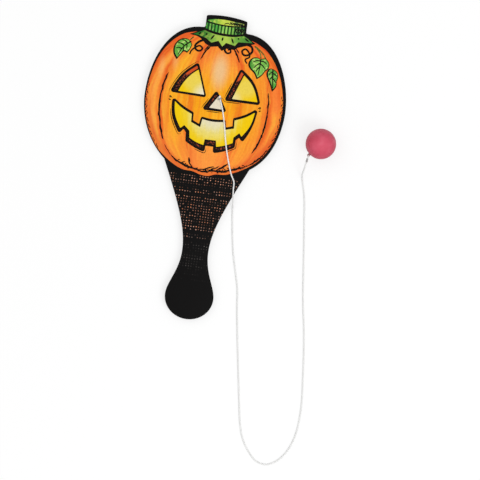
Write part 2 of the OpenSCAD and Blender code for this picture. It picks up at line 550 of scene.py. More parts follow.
    @staticmethod
    def ink_lines(name: str, strokes: Sequence[Stroke], height: float, flat: float) -> Object:
        """Strokes of ink that lie on the face, as one piece.

        Args:
            name: The piece's name.
            strokes: The strokes, in millimetres.
            height: Height of the middle of the ink, in millimetres.
            flat: Thickness of a stroke as a share of its width.

        Returns:
            The new piece.
        """
        parts = []
        for closed in (False, True):
            runs = []
            for stroke in (s for s in strokes if s.closed is closed):
                line = drawn(stroke.marks, closed, PEN_CORNER if closed else 0.0, PEN_STEP)
                last = len(line) - 1
                radii = [stroke.width / 2 * stroke.swell(i / last) for i in range(len(line))]
                runs.append([(p.to_3d(), radius) for p, radius in zip(line, radii)])
            if runs:
                parts.append(Bench.tube(name, runs, closed, PEN_SIDES))
        whole = Bench.join(name, parts)
        whole.scale = (MM, MM, MM * flat)
        whole.location = (0, 0, height * MM)
        Bench.settle(whole)
        Bench.tidy(whole)
        Bench.smooth(whole, PEN_SMOOTH)
        return whole


# Materials


def linear(code: str) -> tuple[float, float, float, float]:
    """Turns an sRGB hex colour into linear light.

    Args:
        code: The colour, such as "#f98b32".

    Returns:
        Red, green, blue and full opacity.
    """
    shares = [int(code[i : i + 2], 16) / 255 for i in (1, 3, 5)]
    light = [c / 12.92 if c <= 0.04045 else ((c + 0.055) / 1.055) ** 2.4 for c in shares]
    return (*light, 1.0)


def blank(owner: bpy.types.Material | bpy.types.World) -> Tree:
    """Clears the nodes of a material or a world.

    Args:
        owner: The material or the world.

    Returns:
        Its empty nodes.
    """
    owner.use_nodes = True
    owner.node_tree.nodes.clear()
    return owner.node_tree


def add(
    tree: Tree, kind: str, inputs: dict[Any, Any] | None = None, stops: Sequence[Stop] = (), **settings: Any
) -> Node:
    """Adds a node with its settings and links.

    Args:
        tree: The material's nodes.
        kind: The node's type.
        inputs: Values, or sockets to link, by the name or number of the input.
        stops: Places and colours of a ramp.
        **settings: The node's own settings.

    Returns:
        The new node.
    """
    node = tree.nodes.new(kind)
    for key, value in settings.items():
        setattr(node, key, value)
    for key, value in (inputs or {}).items():
        if isinstance(value, Socket):
            tree.links.new(value, node.inputs[key])
        else:
            node.inputs[key].default_value = value
    if stops:
        elements = node.color_ramp.elements
        while len(elements) < len(stops):
            elements.new(1.0)
        for element, (place, code) in zip(elements, stops):
            element.position = place
            element.color = linear(code)
    return node


def maths(tree: Tree, operation: str, *values: Any, **settings: Any) -> Socket:
    """The result of an operation on values and sockets."""
    return add(tree, "ShaderNodeMath", dict(enumerate(values)), operation=operation, **settings).outputs[0]


def ranged(
    tree: Tree, value: Socket, start: float, end: float, low: float = 0.0, high: float = 1.0, **settings: Any
) -> Socket:
    """Moves a value from one range to another.

    Args:
        tree: The material's nodes.
        value: The value.
        start: Where its range starts.
        end: Where its range ends.
        low: What the start becomes.
        high: What the end becomes.
        **settings: The node's own settings.

    Returns:
        The new value.
    """
    inputs = {"Value": value, "From Min": start, "From Max": end, "To Min": low, "To Max": high}
    return add(tree, "ShaderNodeMapRange", inputs, **settings).outputs[0]


def noise(tree: Tree, place: Socket, size: float, detail: float) -> Socket:
    """Soft clouds of a size that is in the units of the place."""
    inputs = {"Vector": place, "Scale": 1 / size, "Detail": detail}
    return add(tree, "ShaderNodeTexNoise", inputs).outputs[0]


def stretched(tree: Tree, place: Socket, scale: tuple[float, float, float]) -> Socket:
    """The place with each axis scaled, so that a pattern on it runs one way."""
    return add(tree, "ShaderNodeMapping", {"Vector": place, "Scale": scale}).outputs[0]


def axis(tree: Tree, place: Socket, number: int) -> Socket:
    """One axis of a place."""
    return add(tree, "ShaderNodeSeparateXYZ", {0: place}).outputs[number]


def ramp(tree: Tree, value: Socket, stops: Sequence[Stop]) -> Socket:
    """A run of colours along a value."""
    return add(tree, "ShaderNodeValToRGB", {0: value}, stops).outputs[0]


def mixed(tree: Tree, share: Socket, under: Any, over: Any) -> Socket:
    """A mix of two colours, or of two sockets of colour."""
    return add(tree, "ShaderNodeMix", {0: share, 6: under, 7: over}, data_type="RGBA").outputs[2]


def blended(tree: Tree, strength: Socket, opacity: float, under: Socket, code: str) -> Socket:
    """Lays a colour over another.

    Args:
        tree: The material's nodes.
        strength: Where the colour goes, from 0 to 1.
        opacity: Its opacity at full strength.
        under: The colour beneath.
        code: The colour, as sRGB hex.

    Returns:
        The new colour.
    """
    return mixed(tree, maths(tree, "MULTIPLY", strength, opacity), under, linear(code))


def place_mm(tree: Tree) -> Socket:
    """Place on the object in millimetres."""
    inputs = {0: add(tree, "ShaderNodeTexCoord").outputs["Object"], "Scale": 1 / MM}
    return add(tree, "ShaderNodeVectorMath", inputs, operation="SCALE").outputs[0]


@dataclass(frozen=True)
class Spot:
    """An oval on the face, or a round spot in space, that fades outwards. Sizes are in millimetres.

    The core is the share of the oval at full strength. Over 1, the oval is bare and its surround is full.
    """

    centre: tuple[float, ...]
    radii: tuple[float, ...]
    core: float = 0.0

    def strength(self, tree: Tree, place: Socket) -> Socket:
        """Strength of the spot.

        Args:
            tree: The material's nodes.
            place: Place on the object in millimetres.

        Returns:
            1 in the core, falling to 0 at the rim.
        """
        inputs = {"Vector": place, "Location": (*self.centre, 0)[:3], "Scale": (*self.radii, ENDLESS)[:3]}
        moved = add(tree, "ShaderNodeMapping", inputs, vector_type="TEXTURE")
        far = add(tree, "ShaderNodeVectorMath", {0: moved.outputs[0]}, operation="LENGTH")
        return ranged(tree, far.outputs["Value"], 1.0, self.core, **SMOOTH)


@dataclass(frozen=True)
class Spray(Spot):
    """A spot of airbrushed colour."""

    opacity: float = 1.0
    code: str = "#ffffff"

    def over(self, tree: Tree, place: Socket, under: Socket) -> Socket:
        """The colour beneath with the spray laid over it."""
        return blended(tree, self.strength(tree, place), self.opacity, under, self.code)


class Finish:
    """A finish that makes its material once and dresses pieces with it.

    Its skin is one pattern, which sets the roughness (two ends) and the relief (strength and depth in mm).
    """

    title: str
    shader: dict[str, Any] = {}
    gloss: tuple[float, float] | None = None
    relief: tuple[float, float] | None = None

    def material(self) -> bpy.types.Material:
        """The finish's material, made when it is first asked for.

        Returns:
            The material, with the finish's colour, gloss and relief linked to its shader.
        """
        found = bpy.data.materials.get(self.title)
        if found:
            return found
        material = bpy.data.materials.new(self.title)
        tree = blank(material)
        surface = add(tree, "ShaderNodeBsdfPrincipled", self.shader)
        add(tree, "ShaderNodeOutputMaterial", {"Surface": surface.outputs["BSDF"]})
        colour, skin = self.paint(tree)
        tree.links.new(colour, surface.inputs["Base Color"])
        if self.gloss:
            tree.links.new(ranged(tree, skin, 0.0, 1.0, *self.gloss), surface.inputs["Roughness"])
        if self.relief:
            strength, depth = self.relief
            bump = add(tree, "ShaderNodeBump", {"Strength": strength, "Distance": depth * MM, "Height": skin})
            tree.links.new(bump.outputs[0], surface.inputs["Normal"])
        return material

    def paint(self, tree: Tree) -> tuple[Socket, Socket]:
        """The finish's own patterns.

        Args:
            tree: The material's nodes.

        Returns:
            Its colour and its skin.
        """
        raise NotImplementedError

    def dress(self, obj: Object) -> None:
        """Gives a piece this finish alone."""
        obj.data.materials.clear()
        obj.data.materials.append(self.material())


class PaperInk(Finish):
    """Offset ink under a thin satin varnish: even colour with a fine paper tooth and a dull, broad gloss."""

    shader = {"IOR": 1.5, "Roughness": 0.5, "Specular IOR Level": 0.08}
    gloss = (0.4, 0.6)
    relief = (0.25, 0.02)
    tooth = 0.35
    grain = 1.6
    cover = (0.3, 0.7, 0.94, 1.05)

    def colour(self, tree: Tree, place: Socket) -> Socket:
        """The ink's colour.

        Args:
            tree: The material's nodes.
            place: Place on the face in millimetres.

        Returns:
            The colour socket.
        """
        raise NotImplementedError

    def paint(self, tree: Tree) -> tuple[Socket, Socket]:
        """The ink's colour with its uneven cover, and the paper's tooth.

        Args:
            tree: The material's nodes.

        Returns:
            The colour and the skin.
        """
        place = place_mm(tree)
        level = ranged(tree, noise(tree, place, self.grain, 4.0), *self.cover)
        tone = add(tree, "ShaderNodeHueSaturation", {"Color": self.colour(tree, place), "Value": level})
        return tone.outputs[0], noise(tree, place, self.tooth, 2.0)


class GroundBlack(PaperInk):
    """Black ground of the print. Loose rows of salmon dots on the neck grow grey and dim to the grip."""

    title = "black offset ink on varnished paper"
    black = "#090808"
    salmon = "#f59a6c"
    rose = "#dcae9c"
    grey = "#847c78"
    pitch = 2.15
    dot_share = 0.24
    drift = 0.2
    patch = 16.0
    wear = (0.35, 0.6, 0.45, 1.1)
    row_luck = (-0.1, 1.4)
    dot_luck = (-0.15, 1.1)
    top = -62.5
    full = -65.5
    orange_end = -104.0
    grey_start = -120.0
    dim = -119.0
    bottom = -150.0

    def colour(self, tree: Tree, place: Socket) -> Socket:
        """Black, with dots of uneven strength and place on a square grid.

        Args:
            tree: The material's nodes.
            place: Place on the face in millimetres.

        Returns:
            The colour socket.
        """
        y = axis(tree, place, 1)
        inputs = {"Vector": place, "Scale": 1 / self.pitch, "Randomness": self.drift}
        cells = add(tree, "ShaderNodeTexVoronoi", inputs, voronoi_dimensions="2D")
        luck = add(tree, "ShaderNodeSeparateXYZ", {0: cells.outputs["Color"]})
        row = maths(tree, "ROUND", maths(tree, "MULTIPLY_ADD", y, 1 / self.pitch, -self.drift / 2))
        inked = add(tree, "ShaderNodeTexWhiteNoise", {"W": row}, noise_dimensions="1D")
        strength = ranged(tree, cells.outputs["Distance"], self.dot_share, self.dot_share / 2, **SMOOTH)
        factors = (
            ranged(tree, inked.outputs[0], 0.0, 1.0, *self.row_luck),
            ranged(tree, noise(tree, place, self.patch, 1.0), *self.wear),
            ranged(tree, luck.outputs[0], 0.0, 1.0, *self.dot_luck),
            ranged(tree, y, self.top, self.full),
            ranged(tree, y, self.bottom, self.dim),
        )
        for factor in factors:
            strength = maths(tree, "MULTIPLY", strength, factor, use_clamp=True)
        warm = mixed(tree, luck.outputs[1], linear(self.rose), linear(self.salmon))
        ink = mixed(tree, ranged(tree, y, self.grey_start, self.orange_end), linear(self.grey), warm)
        return mixed(tree, strength, linear(self.black), ink)


class PumpkinOrange(PaperInk):
    """Airbrushed orange of a ribbed pumpkin: red-orange furrows, golden lobes, a glow round the face."""

    title = "orange airbrushed ink on varnished paper"
    middle_y = -6.0
    half_height = 60.0
    half_width = 58.0
    least_narrow = 0.12
    waver = 14.0
    wobble = 2.6
    streak_width = 2.4
    streak_length = 30.0
    lobes = (
        (-58.0, "#e2561c"), (-55.0, "#f57f2c"), (-50.5, "#fda545"), (-47.0, "#fb8f33"), (-44.5, "#ea6420"),
        (-42.0, "#fa9430"), (-34.0, "#fdb026"), (-26.0, "#fa962a"), (-21.5, "#ec6c24"), (-17.0, "#fc8c34"),
        (0.0, "#fda63a"), (17.0, "#fc8c34"), (21.5, "#ec6c24"), (26.0, "#fa942a"), (34.0, "#fba026"),
        (42.0, "#f98c2e"), (44.5, "#e85e1e"), (47.0, "#fb8632"), (50.5, "#fb8436"), (55.0, "#ee6a22"),
        (58.0, "#dd4f18"),
    )
    furrows = (
        (-48.0, "#000000"), (-44.8, "#ffffff"), (-40.0, "#000000"), (-25.0, "#000000"), (-21.5, "#ffffff"),
        (-15.0, "#000000"), (15.0, "#000000"), (21.5, "#ffffff"), (25.0, "#000000"), (40.0, "#000000"),
        (44.8, "#ffffff"), (48.0, "#000000"),
    )
    furrow_opacity = 0.6
    furrow_red = "#e4541a"
    glow = Spray((-2, -3), (47, 37), 0.3, 0.85, "#faaa06")
    brushwork = ((0.5, 0.75, 0.6, "#ffc03c"), (0.48, 0.28, 0.55, "#ee6a24"))
    foot_and_crown = ((-26.0, -60.0, 0.6, "#fe9044"), (27.0, 50.0, 0.55, "#ee5e28"))
    rim_and_lights = (
        Spray((0, 3), (52.5, 59), 1.08, 0.55, "#d94f1f"),
        Spray((0.6, 22), (9.5, 20), 0.15, 0.88, "#efc48e"),
        Spray((-46.5, 20), (4, 13), 0.0, 0.4, "#f8be78"),
        Spray((-36, 26), (4, 11), 0.0, 0.4, "#f8be78"),
    )

    def colour(self, tree: Tree, place: Socket) -> Socket:
        """Lobes that run together at the stem and the foot, with light and glow laid over them.

        Args:
            tree: The material's nodes.
            place: Place on the face in millimetres.

        Returns:
            The colour socket.
        """
        x, y = axis(tree, place, 0), axis(tree, place, 1)
        rise = ranged(tree, y, self.middle_y, self.middle_y + self.half_height, clamp=False)
        rest = maths(tree, "SUBTRACT", 1.0, maths(tree, "MULTIPLY", rise, rise))
        narrow = maths(tree, "SQRT", maths(tree, "MAXIMUM", rest, self.least_narrow))
        turned = maths(tree, "DIVIDE", x, narrow)
        shift = ranged(tree, noise(tree, place, self.waver, 2.0), 0.0, 1.0, -self.wobble, self.wobble)
        lobe = maths(tree, "ADD", turned, shift)
        share = ranged(tree, lobe, -self.half_width, self.half_width)
        lobes, furrows = (
            ramp(tree, share, [(0.5 + at / self.half_width / 2, code) for at, code in stops])
            for stops in (self.lobes, self.furrows)
        )
        colour = self.glow.over(tree, place, lobes)
        colour = blended(tree, furrows, self.furrow_opacity, colour, self.furrow_red)
        along = maths(tree, "MULTIPLY", y, self.streak_width / self.streak_length)
        lane = add(tree, "ShaderNodeCombineXYZ", {0: lobe, 1: along}).outputs[0]
        brushed = noise(tree, lane, self.streak_width, 2.0)
        for value, tints in ((brushed, self.brushwork), (y, self.foot_and_crown)):
            for start, end, opacity, code in tints:
                colour = blended(tree, ranged(tree, value, start, end), opacity, colour, code)
        for spray in self.rim_and_lights:
            colour = spray.over(tree, place, colour)
        return colour


class LanternGlow(PaperInk):
    """Candle light behind the carved openings: near white by the nose, clear yellow further out."""

    title = "yellow airbrushed ink on varnished paper"
    rings = (
        (0.15, "#f4ca00"), (0.24, "#f2cc12"), (0.32, "#f1ce28"), (0.37, "#f0d244"), (0.43, "#eed75e"),
        (0.56, "#ecda78"), (0.73, "#e8dfae"), (0.92, "#e7ddc4"),
    )
    candle = Spot((0, -8.5), (38, 44))
    rays = (0.45, 0.05, 0.0)
    ray_depth = 0.12
    eye_lights = (
        Spray((-20, 12), (11, 11), 0.35, 0.8, "#ecd55a"),
        Spray((24, 12), (11, 11), 0.35, 0.8, "#ecd55a"),
        Spray((-9.5, 2), (12, 12), 0.0, 0.8, "#f0e8d4"),
        Spray((13, 1), (12, 12), 0.0, 0.3, "#f0e8d4"),
    )

    def colour(self, tree: Tree, place: Socket) -> Socket:
        """Light that fades outwards from the nose, in faint rays.

        Args:
            tree: The material's nodes.
            place: Place on the face in millimetres.

        Returns:
            The colour socket.
        """
        rays = noise(tree, stretched(tree, place, self.rays), 1.0, 1.0)
        shift = ranged(tree, rays, 0.0, 1.0, -self.ray_depth, self.ray_depth)
        colour = ramp(tree, maths(tree, "ADD", self.candle.strength(tree, place), shift), self.rings)
        for spray in self.eye_lights:
            colour = spray.over(tree, place, colour)
        return colour


class CarvedWall(PaperInk):
    """Cut flesh in the openings: brown-black hatching with red-orange showing through."""

    title = "brown hatched ink on varnished paper"
    flecks = ((0.43, "#120a08"), (0.53, "#3a1a10"), (0.62, "#94422a"), (0.76, "#d4501f"))
    fleck = 1.3
    redder = (15.0, 18.5, 0.0, 0.36)

    def colour(self, tree: Tree, place: Socket) -> Socket:
        """Flecks that are drawn as coarse as they need to show, redder towards the top."""
        lift = ranged(tree, axis(tree, place, 1), *self.redder)
        return ramp(tree, maths(tree, "ADD", noise(tree, place, self.fleck, 3.0), lift), self.flecks)


@dataclass(frozen=True)
class GreenInk(PaperInk):
    """Green inks of the stem and leaves: colours change across the shape, with brushed lights and stripes."""

    title: str
    across: tuple[Stop, ...]
    light: str
    patch: float
    lift: float = 0.7
    stripe: float = 0.0
    dark: str = "#1e6b22"
    light_ends = (0.48, 0.66)
    stripe_ends = (0.6, 0.35)
    stripe_opacity = 0.95
    stripe_bend = 0.6
    wave_period = math.pi / 10

    def colour(self, tree: Tree, place: Socket) -> Socket:
        """A run of greens from left to right, with light patches and dark stripes over it.

        Args:
            tree: The material's nodes.
            place: Place on the face in millimetres.

        Returns:
            The colour socket.
        """
        first, last = self.across[0][0], self.across[-1][0]
        share = ranged(tree, axis(tree, place, 0), first, last)
        stops = [((at - first) / (last - first), code) for at, code in self.across]
        brushed = ranged(tree, noise(tree, place, self.patch, 2.0), *self.light_ends, **SMOOTH)
        colour = blended(tree, brushed, self.lift, ramp(tree, share, stops), self.light)
        if self.stripe:
            scale = self.wave_period / self.stripe
            inputs = {"Vector": place, "Scale": scale, "Distortion": self.stripe_bend, "Detail": 1.0}
            wave = add(tree, "ShaderNodeTexWave", inputs, bands_direction="X")
            lines = ranged(tree, wave.outputs[1], *self.stripe_ends, **SMOOTH)
            colour = blended(tree, lines, self.stripe_opacity, colour, self.dark)
        return colour


STEM_SIDE = GreenInk(
    title="striped green ink on varnished paper",
    across=(
        (-16, "#2c802e"), (-6, "#52ac42"), (0, "#90d25a"), (6, "#7fc04e"), (10, "#39803a"), (16, "#1d5626"),
    ),
    light="#b4e074",
    patch=2.2,
    lift=0.5,
    stripe=2.7,
    dark="#0e3d16",
)
STEM_TOP = GreenInk(
    title="yellow-green ink on varnished paper",
    across=(
        (-15, "#319034"), (-9, "#60ac42"), (-3, "#bfd449"), (3, "#c6d54e"), (8, "#587a3c"), (15, "#2a4a30"),
    ),
    light="#d4dc5e",
    patch=2.6,
)
COLLAR = GreenInk(
    title="mottled green ink on varnished paper",
    across=(
        (-26, "#22702a"), (-16, "#2c7429"), (-8, "#86b546"), (2, "#b2d052"), (11, "#6aa840"), (25, "#22732f"),
    ),
    light="#c0cf5a",
    patch=3.0,
    lift=0.4,
)
STALKS = GreenInk(
    title="dark green drawing ink on varnished paper",
    across=((20, "#3a4a18"), (34, "#566424"), (46, "#3a4a18")),
    light="#8c9040",
    patch=1.6,
)
LEAVES = GreenInk(
    title="leaf green ink on varnished paper",
    across=(
        (-40, "#58a43c"), (-26, "#76be4a"), (24, "#3f8a30"), (31, "#88ca56"), (38, "#64aa46"),
        (42, "#529e3c"), (48, "#58a440"),
    ),
    light="#bfe07a",
    patch=2.0,
    lift=0.85,
)


class LineBlack(PaperInk):
    """Black drawing ink: a dense line with a faint warm edge."""

    title = "black drawing ink on varnished paper"
    cloud = 2.5
    thin = ((0.5, "#0b0706"), (0.72, "#21130d"))

    def colour(self, tree: Tree, place: Socket) -> Socket:
        """Black that thins to brown in places."""
        return ramp(tree, noise(tree, place, self.cloud, 2.0), self.thin)


class BirchPly(Finish):
    """Sanded birch plywood: pale face veneer with long soft grain, fine pores and a dull surface."""

    title = "sanded birch plywood"
    shader = {"IOR": 1.5, "Roughness": 0.62}
    relief = (0.1, 0.02)
    grain = ((0.3, "#d9bb8d"), (0.5, "#e2c9a0"), (0.62, "#cfac7a"), (0.75, "#e6d0aa"))
    ring = (1 / 5.0, 0.08 / 5.0, 1 / 5.0)
    pore = (1 / 0.5, 0.1 / 0.5, 1 / 0.5)
    pore_ends = (0.42, 0.3)
    pore_opacity = 0.5
    pore_brown = "#a98455"

    def paint(self, tree: Tree) -> tuple[Socket, Socket]:
        """Long grain along the handle with dark pores, and the pores' slight relief.

        Args:
            tree: The material's nodes.

        Returns:
            The colour and the skin.
        """
        place = place_mm(tree)
        figure = noise(tree, stretched(tree, place, self.ring), 1.0, 5.0)
        pores = noise(tree, stretched(tree, place, self.pore), 1.0, 2.0)
        dark = ranged(tree, pores, *self.pore_ends)
        colour = blended(tree, dark, self.pore_opacity, ramp(tree, figure, self.grain), self.pore_brown)
        return colour, pores


class EdgePaint(Finish):
    """Black paint on the sawn edge: saw ripples under it, and a little wear."""

    title = "black paint on sawn plywood"
    shader = {"IOR": 1.5, "Roughness": 0.5}
    gloss = (0.4, 0.65)
    relief = (0.3, 0.05)
    plies = (0.25, 0.25, 1.3)
    wear = ((0.35, "#151312"), (0.6, "#241f1c"), (0.8, "#3b2f27"))

    def paint(self, tree: Tree) -> tuple[Socket, Socket]:
        """Uneven cover in which the plies show faintly, and saw ripples."""
        cover = noise(tree, stretched(tree, place_mm(tree), self.plies), 1.0, 3.0)
        return ramp(tree, cover, self.wear), cover


class StapleSteel(Finish):
    """Galvanised steel wire: grey, drawn lengthways, with dull and bright patches."""

    title = "galvanised steel wire"
    shader = {"Metallic": 1.0, "Roughness": 0.32}
    gloss = (0.2, 0.45)
    patch = 0.5
    zinc = ((0.35, "#72797e"), (0.65, "#a3a9ad"))

    def paint(self, tree: Tree) -> tuple[Socket, Socket]:
        """Patches of zinc in the colour and the gloss."""
        cover = noise(tree, place_mm(tree), self.patch, 3.0)
        return ramp(tree, cover, self.zinc), cover


@dataclass(frozen=True)
class ElasticThread(Finish):
    """Thread-covered rubber elastic: off-white, matte, with a fine slanting wrap."""

    title: str = "white thread-wrapped elastic"
    white: str = "#f5f5f4"
    shade: str = "#e4e3e1"
    shader = {"IOR": 1.5, "Roughness": 0.85, "Sheen Weight": 0.15}
    relief = (0.5, 0.06)
    wrap_pitch = 0.7
    groove_ends = (-1.0, 0.4)
    soil = 9.0
    shade_and_soil_end = 0.4

    def paint(self, tree: Tree) -> tuple[Socket, Socket]:
        """Painted shade in the grooves of the wrap, mixed with light soiling; the wrap follows each tube's
        own length and turn.

        Args:
            tree: The material's nodes.

        Returns:
            The colour and the skin.
        """
        wrap = add(tree, "ShaderNodeAttribute", attribute_name=WRAP)
        axes = add(tree, "ShaderNodeSeparateXYZ", {0: wrap.outputs["Vector"]}).outputs
        angle = maths(tree, "ARCTAN2", axes[1], axes[0])
        phase = maths(tree, "MULTIPLY_ADD", axes[2], math.tau / (self.wrap_pitch * MM), angle)
        ridge = maths(tree, "SINE", phase)
        groove = ranged(tree, ridge, *self.groove_ends)
        # Painted shade: the bottoms of the wrap's grooves are darker, broken up by soiling noise.
        groove_shade_and_soil = maths(tree, "MULTIPLY", groove, noise(tree, place_mm(tree), self.soil, 2.0))
        return ramp(tree, groove_shade_and_soil, ((0.0, self.shade), (self.shade_and_soil_end, self.white))), ridge


class BallRubber(Finish):
    """Moulded natural rubber: pinkish red, matte, faintly clouded, with a fine pebbled skin."""

    title = "moulded red rubber"
    shader = {"IOR": 1.52, "Roughness": 0.6, "Sheen Weight": 0.12, "Sheen Roughness": 0.5}
    gloss = (0.5, 0.75)
    relief = (0.35, 0.05)
    clouds = ((0.35, "#d0405a"), (0.55, "#d74b64"), (0.7, "#dc566d"))
    cloud = 7.0
    pebble = 0.45
    speck_ends = (0.62, 0.75)
    speck_opacity = 0.35
    speck_pink = "#e58a97"
    # Painted shade: a darker spot round the moulded eye, where the nub sits in shadow.
    darkened_at_eye = Spray((80.65, -35.69, 12.3), (2.6, 2.6, 2.6), 0.6, 0.7, "#8a3340")

    def paint(self, tree: Tree) -> tuple[Socket, Socket]:
        """Clouding with specks of filler and painted shade round the eye, and the pebbled skin.

        Args:
            tree: The material's nodes.

        Returns:
            The colour and the skin.
        """
        place = place_mm(tree)
        pebble = noise(tree, place, self.pebble, 3.0)
        colour = ramp(tree, noise(tree, place, self.cloud, 4.0), self.clouds)
        specks = ranged(tree, pebble, *self.speck_ends)
        colour = blended(tree, specks, self.speck_opacity, colour, self.speck_pink)
        # The spot of painted shade round the eye is laid over last.
        return self.darkened_at_eye.over(tree, place, colour), pebble


def ridden(obj: Object, body: str, slot: str, *nodes: str) -> Object:
    """Hands a finished piece to its body.

    Args:
        obj: The piece.
        body: The CAD body that it moves with.
        slot: Name of a material slot. Not used.
        *nodes: CAD nodes that the piece stands for.

    Returns:
        The piece.
    """
    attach(obj, body)
    if nodes:
        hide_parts(*nodes)
    LOG.info("piece %s rides on %s", obj.name, body)
    return obj


# Stage


@dataclass(frozen=True)
class Lamp:
    """A soft lamp: its place from the middle of the view and its size in metres, its power in watts."""

    place: tuple[float, float, float]
    size: float
    power: float


@dataclass
class Studio:
    """Camera, soft lights and a pale floor."""

    view_width: float = 0.3888
    view_centre: tuple[float, float] = (0.03478, -0.11098)
    view_turn: float = 7.616
    face_height: float = 0.0052
    distance: float = 2.0
    sensor: float = 36.0
    floor_size: float = 6.0
    floor_drop: float = 0.00005
    floor_shade: str = "#a2a2a2"
    floor_white: str = "#ffffff"
    floor_glow: float = 0.66
    horizon: float = 0.08
    zenith: float = 1.12
    clip: tuple[float, float] = (0.05, 20.0)
    key: Lamp = Lamp((0.9, -0.7, 1.2), 0.9, 8.0)
    fill: Lamp = Lamp((-0.9, 0.6, 1.2), 1.1, 1.6)

    def camera(self) -> None:
        """Looks straight down on the toy from far off."""
        place = (*self.view_centre, self.face_height + self.distance)
        bpy.ops.object.select_all(action="DESELECT")
        bpy.ops.object.camera_add(location=place, rotation=(0, 0, math.radians(self.view_turn)))
        camera = bpy.context.object
        camera.data.sensor_width = self.sensor
        camera.data.lens = self.sensor * self.distance / self.view_width
        camera.data.clip_start, camera.data.clip_end = self.clip
        bpy.context.scene.camera = camera

    def lights(self) -> None:
        """A broad key from the lower right, a weaker fill and an even surround."""
        target = Vector((*self.view_centre, 0.0))
        for soft_box in (self.key, self.fill):
            bpy.ops.object.light_add(type="AREA", location=target + Vector(soft_box.place))
            lamp = bpy.context.object
            lamp.data.size = soft_box.size
            lamp.data.energy = soft_box.power
            lamp.rotation_euler = (-Vector(soft_box.place)).to_track_quat("-Z", "Y").to_euler()
        scene = bpy.context.scene
        scene.world = scene.world or bpy.data.worlds.new("surround")
        tree = blank(scene.world)
        way = axis(tree, add(tree, "ShaderNodeTexCoord").outputs["Generated"], 2)
        sky = ranged(tree, way, 0.0, 1.0, self.horizon, self.zenith)
        sockets = {0: add(tree, "ShaderNodeLightPath").outputs["Is Camera Ray"], 2: sky, 3: 1.0}
        strength = add(tree, "ShaderNodeMix", sockets, data_type="FLOAT")
        ground = add(tree, "ShaderNodeBackground", {"Strength": strength.outputs[0], "Color": (1, 1, 1, 1)})
        add(tree, "ShaderNodeOutputWorld", {"Surface": ground.outputs[0]})

    @staticmethod
    def seen(tree: Tree) -> Socket:
        """Tells the rays that see the floor from those that light the toy.

        Args:
            tree: The material's nodes.

        Returns:
            1 for rays from the camera, from gloss or through glass, and 0 for light.
        """
        path = add(tree, "ShaderNodeLightPath").outputs
        first = maths(tree, "MAXIMUM", path["Is Camera Ray"], path["Is Glossy Ray"])
        return maths(tree, "MAXIMUM", first, path["Is Transmission Ray"])

    def floor(self) -> None:
        """A white table top that keeps a soft shadow."""
        bpy.ops.object.select_all(action="DESELECT")
        bpy.ops.mesh.primitive_plane_add(size=self.floor_size, location=(*self.view_centre, -self.floor_drop))
        floor = bpy.context.object
        floor.name = "floor"
        material = bpy.data.materials.new("white table top")
        tree = blank(material)
        seen = self.seen(tree)
        shade = mixed(tree, seen, linear(self.floor_shade), linear(self.floor_white))
        cloth = add(tree, "ShaderNodeBsdfDiffuse", {"Color": shade})
        white = add(tree, "ShaderNodeEmission", {"Strength": 1.0})
        inputs = {0: maths(tree, "MULTIPLY", seen, self.floor_glow), 1: cloth.outputs[0], 2: white.outputs[0]}
        surface = add(tree, "ShaderNodeMixShader", inputs)
        add(tree, "ShaderNodeOutputMaterial", {"Surface": surface.outputs[0]})
        floor.data.materials.append(material)

    def build(self) -> None:
        """Sets the whole stage."""
        self.camera()
        self.lights()
        self.floor()
        bpy.context.scene.view_settings.view_transform = "Standard"


# The elastic with its knots and the loop through the ball's eye

FACE_ROUTE = (
    (0.007, -0.009), (0.0095, -0.0185), (0.013, -0.035), (0.0173, -0.05), (0.021, -0.06), (0.0236, -0.065),
    (0.024, -0.071),
)
DROP_ROUTE = ((0.0245, -0.077, 1), (0.0249, -0.081, 0.7), (0.0254, -0.087, 0.1))
TABLE_ROUTE = (
    (0.027, -0.1), (0.0306, -0.122), (0.034, -0.1355), (0.038, -0.1515), (0.0394, -0.164), (0.0425, -0.1855),
    (0.047, -0.214), (0.052, -0.2445), (0.0546, -0.259), (0.058, -0.27), (0.0645, -0.2805), (0.072, -0.2875),
    (0.079, -0.289), (0.0865, -0.286), (0.093, -0.2795), (0.098, -0.27), (0.101, -0.258), (0.102, -0.244),
    (0.1, -0.213), (0.0965, -0.181), (0.092, -0.153), (0.088, -0.119), (0.0845, -0.09), (0.0813, -0.067),
)
RISE_ROUTE = ((0.0783, -0.0556, 0), (0.0777, -0.052, 0.25), (0.0783, -0.0485, 0.6), (0.079, -0.045, 0.92))


